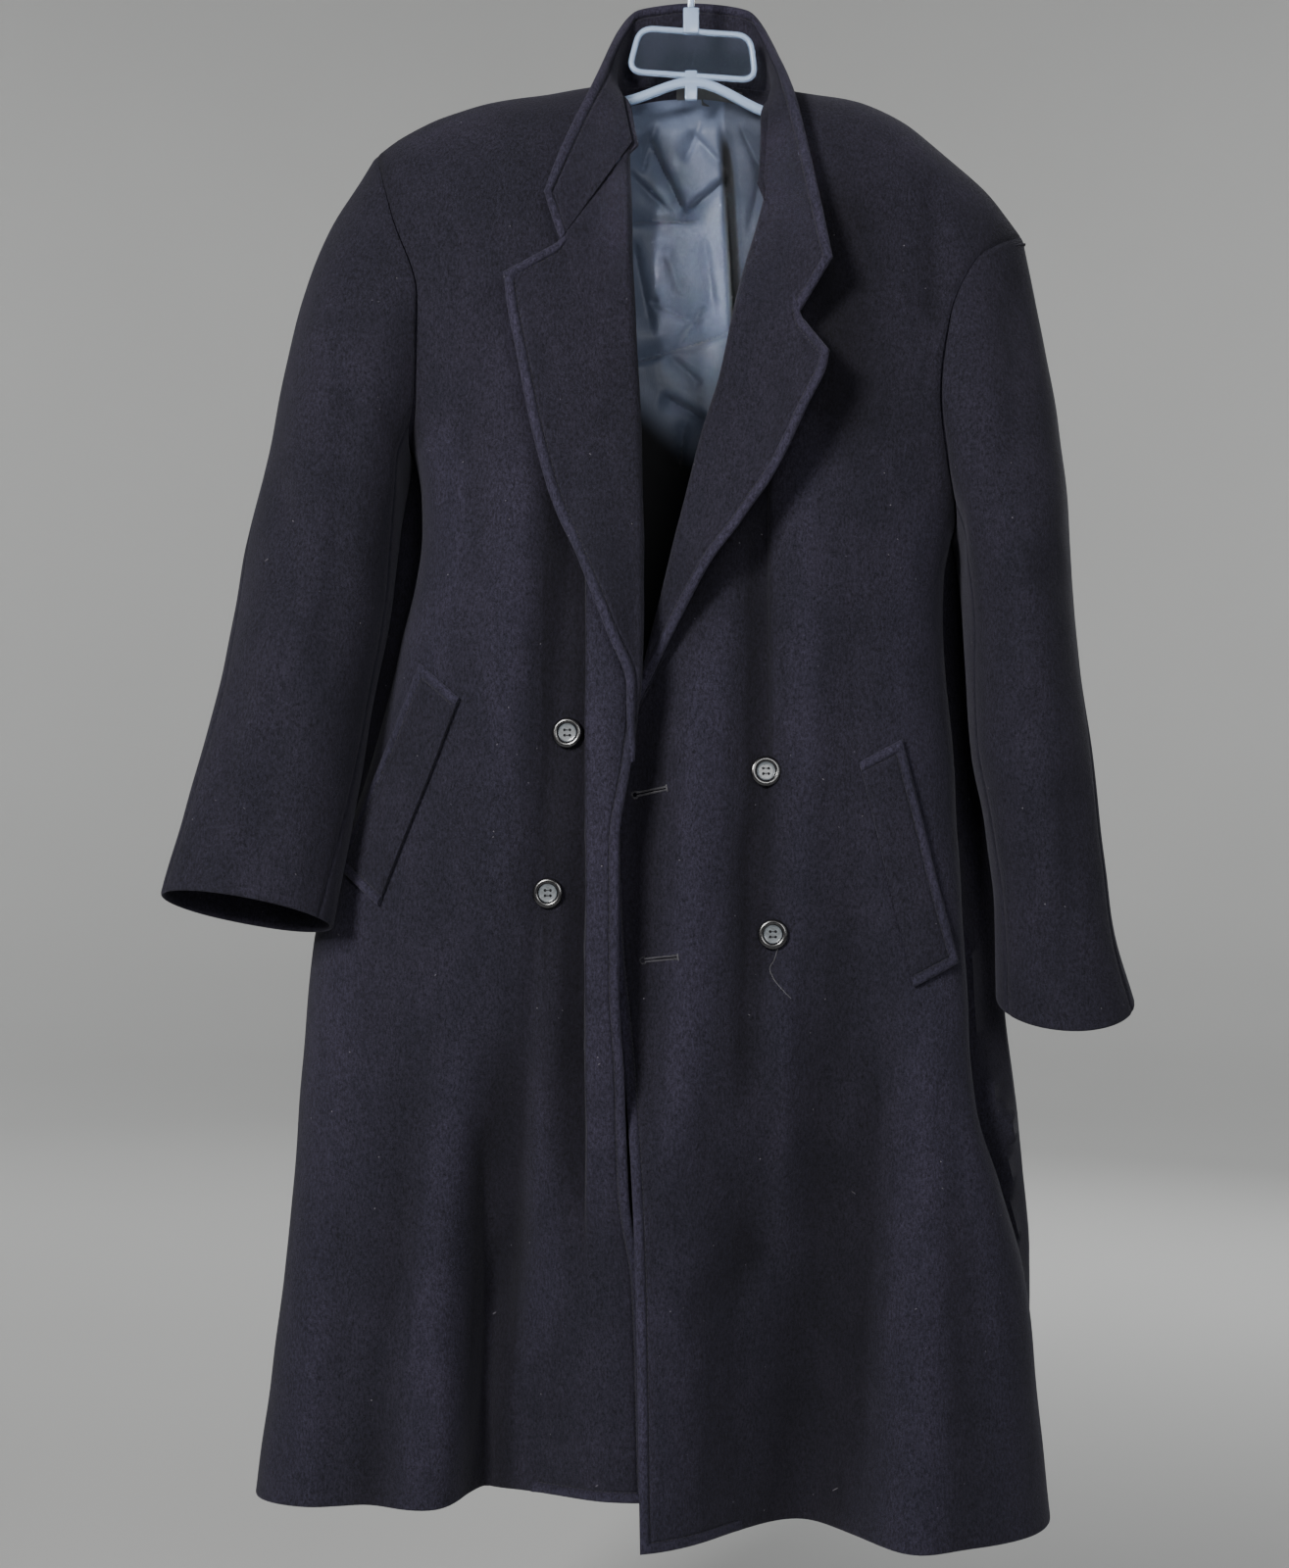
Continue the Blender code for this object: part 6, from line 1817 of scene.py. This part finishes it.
class OVERCOAT_OT_buttons(bpy.types.Operator):
    """Four-hole buttons with a dished middle, and the thread that holds them"""

    bl_idname = "overcoat.buttons"
    bl_label = "Buttons"

    def execute(self, context):
        mesh = button_mesh()
        strands, shanks = [], []
        for place in BUTTONS:
            matrix = button_place(place)
            piece(f"{place.name}_horn", mesh, "horn_button", (place.name,), matrix)
            for side in (-1, 1):
                for offset in (-0.0002, 0.0002):
                    spots = [
                        (-HOLE_SPREAD, side * HOLE_SPREAD + offset, -0.0008),
                        (-HOLE_SPREAD, side * HOLE_SPREAD + offset, BUTTON_DISH_Z + 0.0002),
                        (0, side * HOLE_SPREAD + offset * 1.6, BUTTON_DISH_Z + 0.0003),
                        (HOLE_SPREAD, side * HOLE_SPREAD + offset, BUTTON_DISH_Z + 0.0002),
                        (HOLE_SPREAD, side * HOLE_SPREAD + offset, -0.0008),
                    ]
                    strands.append(curve_through([matrix @ Vector(spot) for spot in spots], 22))
            shanks.append(curve_through([matrix @ Vector((0, 0, z)) for z in (0.0006, -0.001, -0.0026)], 6))
        for name, paths, radius, sides in (
            ("button_thread", strands, STRAND_RADIUS, 6), ("button_shanks", shanks, SHANK_RADIUS, 12),
        ):
            piece(name, mesh_from(name, *tube(paths, radius, sides)), "sewing_thread")
        return {"FINISHED"}


class OVERCOAT_OT_buttonholes(bpy.types.Operator):
    """Keyhole buttonholes worked in twist, the bar on the other front and a loose end of thread"""

    bl_idname = "overcoat.buttonholes"
    bl_label = "Buttonholes"

    def execute(self, context):
        spots, slits = [], []
        for hole in BUTTONHOLES:
            eye, bar = np.array([hole.eye_x, hole.eye_z]), np.array([hole.bar_x, hole.bar_z])
            line = (bar - eye) / np.linalg.norm(bar - eye)
            across = np.array([-line[1], line[0]])
            size = np.linalg.norm(bar - eye)
            for step in np.arange(EYE_RADIUS, size, PURL_PITCH):
                for side in (-1, 1):
                    spots.append((eye + line * step + across * side * PURL_OFF, across * PURL_HALF))
            for turn in np.radians(np.arange(40, 321, 24)):
                spoke = line * math.cos(turn) + across * math.sin(turn)
                spots.append((eye + spoke * (EYE_RADIUS + PURL_HALF), spoke * PURL_HALF))
            for offset in np.linspace(-1, 1, 5):
                spots.append((bar + line * BAR_STEP * offset, across * PURL_OFF * 2.4))
            run = np.linspace(-EYE_RADIUS * 0.9, size, 40)
            wide = np.where(run < EYE_RADIUS, np.sqrt(np.clip(EYE_RADIUS**2 - run**2, 1e-9, None)), SLIT_HALF)
            wide = np.maximum(wide, SLIT_HALF)
            rows = np.linspace(-1, 1, 5)[:, None]
            at = eye + run[:, None, None].swapaxes(0, 1) * line + (rows * wide[None, :])[..., None] * across
            surface, outward = on_front(LEFT, at[..., 0], at[..., 1], SLIT_CLEAR)
            slits.append((surface, surface - outward * SLIT_THICK))
        made = [thread_on(LEFT, middle, reach, TWIST_RADIUS) for middle, reach in spots]
        for offset in np.linspace(-1, 1, 4):
            middle = np.array(EDGE_BAR) + (0, BAR_STEP * offset)
            made.append(thread_on(RIGHT, middle, np.array([EDGE_BAR_HALF, 0.0]), EDGE_BAR_RADIUS))
        piece("buttonhole_twist", stitch_mesh("buttonhole_twist", made), "buttonhole_thread")
        for k, (outer, inner) in enumerate(slits):
            slit = wall_mesh("buttonhole_slit", outer, inner)
            piece(f"buttonhole_slit_{k + 1}", slit, "slit_shadow")
        route = curve_through(LOOSE_THREAD, 60)
        loose, _ = on_front(LEFT, route[:, 0], route[:, 1], LOOSE_CLEAR)
        loose_mesh = mesh_from("loose_thread_end", *tube([loose], LOOSE_RADIUS))
        piece("loose_thread_end", loose_mesh, "buttonhole_thread")
        return {"FINISHED"}


class OVERCOAT_OT_topstitching(bpy.types.Operator):
    """Stitches in the grooves along the finished edges"""

    bl_idname = "overcoat.topstitching"
    bl_label = "Topstitching"

    def execute(self, context):
        sizes = context.scene.coat_sizes
        if not STITCH_LINES:
            raise RuntimeError("topstitching follows the edges of the cloth, so the cloth is made first")
        spots = []
        for points, ways in STITCH_LINES:
            run = runs(points, 0)
            for middle in np.arange(sizes.pitch / 2, run[-1] - sizes.pitch / 2, sizes.pitch):
                ends = [np.array([np.interp(at, run, points[:, k]) for k in range(3)])
                        for at in (middle - sizes.stitch / 2, middle + sizes.stitch / 2)]
                up = np.array([np.interp(middle, run, ways[:, k]) for k in range(3)])
                spots.append(((ends[0] + ends[1]) / 2, (ends[1] - ends[0]) / 2, up, sizes.thread))
        piece("topstitching", stitch_mesh("topstitching", spots), "sewing_thread")
        return {"FINISHED"}


class OVERCOAT_OT_hanger(bpy.types.Operator):
    """Clear hanger and its hook"""

    bl_idname = "overcoat.hanger"
    bl_label = "Hanger"

    def execute(self, context):
        outline = rounded_frame()
        bow_x = np.linspace(BOW[0].x, BOW[-1].x, 61)
        bow = [(x, 0.0, float(column(BOW, "x", "z", x))) for x in bow_x]
        meshes = [wire(bow, BOW_WIRE), wire(outline, FRAME_WIRE, closed=True), plate(outline, FRAME_PLATE)]
        meshes += [block(*POST), block(*TAB)]
        piece("clear_hanger", united(meshes), "clear_plastic", ("hanger",))
        radius = HOOK_INNER + HOOK_WIRE
        arc = np.radians(np.linspace(*HOOK_ARC, 48))
        turn = [(radius * math.cos(a), 0, -HOOK_INNER + radius * math.sin(a)) for a in arc]
        hook = wire(HOOK_SHANK + turn, HOOK_WIRE)
        hook.shade_smooth()
        piece("clear_hook", hook, "clear_plastic", ("hanger_hook",))
        return {"FINISHED"}


class OVERCOAT_OT_stage(bpy.types.Operator):
    """Pale floor that curves up into walls, soft lamps and the camera"""

    bl_idname = "overcoat.stage"
    bl_label = "Stage"

    def execute(self, context):
        turns = np.linspace(0, 2 * math.pi, STAGE_SIDES, endpoint=False)
        points = [(0, 0, STAGE_FLOOR)]
        for radius, rise in STAGE_PROFILE:
            points += [(radius * math.cos(a), radius * math.sin(a), STAGE_FLOOR + rise) for a in turns]
        faces = [(0, 1 + k, 1 + (k + 1) % STAGE_SIDES) for k in range(STAGE_SIDES)]
        for ring in range(len(STAGE_PROFILE) - 1):
            base = 1 + ring * STAGE_SIDES
            for k in range(STAGE_SIDES):
                after = (k + 1) % STAGE_SIDES
                faces.append((base + k, base + STAGE_SIDES + k, base + STAGE_SIDES + after, base + after))
        mesh = bpy.data.meshes.new("pale_stage")
        mesh.from_pydata(points, [], faces)
        mesh.shade_smooth()
        mesh.materials.append(finish("pale_floor"))
        stage = linked("pale_stage", mesh)
        for lamp in LAMPS:
            light = bpy.data.lights.new(lamp.name, "AREA")
            light.energy, light.size, light.color = lamp.power, lamp.size, lamp.colour
            light.spread = math.radians(lamp.spread)
            made = linked(lamp.name, light)
            made.location = lamp.place
            made.rotation_euler = (Vector(lamp.aim) - Vector(lamp.place)).to_track_quat("-Z", "Y").to_euler()
            made.visible_camera = False
        world = bpy.data.worlds.new("soft_room")
        world.use_nodes = True
        light = world.node_tree.nodes["Background"].inputs
        light["Color"].default_value, light["Strength"].default_value = WORLD_COLOUR, WORLD_LIGHT
        context.scene.world = world
        camera = bpy.data.cameras.new("front_view")
        camera.sensor_fit, camera.sensor_width, camera.lens = "AUTO", 36, CAMERA_LENS
        camera.clip_start, camera.clip_end = 0.05, 50
        view = linked("front_view", camera)
        view.location, view.rotation_euler = CAMERA_AT, (math.pi / 2, 0, 0)
        context.scene.camera = view
        return {"FINISHED"}


OPERATORS = (
    OVERCOAT_OT_fronts, OVERCOAT_OT_backs, OVERCOAT_OT_sleeves, OVERCOAT_OT_lapels, OVERCOAT_OT_collar,
    OVERCOAT_OT_welts, OVERCOAT_OT_lining, OVERCOAT_OT_neck, OVERCOAT_OT_buttons, OVERCOAT_OT_buttonholes,
    OVERCOAT_OT_topstitching, OVERCOAT_OT_hanger, OVERCOAT_OT_stage,
)


class OVERCOAT_PT_panel(bpy.types.Panel):
    """Sizes, colours and pieces of the overcoat"""

    bl_label = "Overcoat"
    bl_idname = "OVERCOAT_PT_panel"
    bl_space_type = "VIEW_3D"
    bl_region_type = "UI"
    bl_category = "Overcoat"

    def draw(self, context):
        for group in (context.scene.coat_sizes, context.scene.coat_colours):
            box = self.layout.box()
            for name in group.__annotations__:
                box.prop(group, name)
        for operator in OPERATORS:
            self.layout.operator(operator.bl_idname)


CLASSES = (OvercoatSizes, OvercoatColours, *OPERATORS, OVERCOAT_PT_panel)


def register():
    for made in CLASSES:
        bpy.utils.register_class(made)
    bpy.types.Scene.coat_sizes = bpy.props.PointerProperty(type=OvercoatSizes)
    bpy.types.Scene.coat_colours = bpy.props.PointerProperty(type=OvercoatColours)


def unregister():
    del bpy.types.Scene.coat_colours
    del bpy.types.Scene.coat_sizes
    for made in reversed(CLASSES):
        bpy.utils.unregister_class(made)


def main():
    register()
    for operator in OPERATORS:
        group, name = operator.bl_idname.split(".")
        getattr(getattr(bpy.ops, group), name)()


if __name__ == "__main__":
    main()
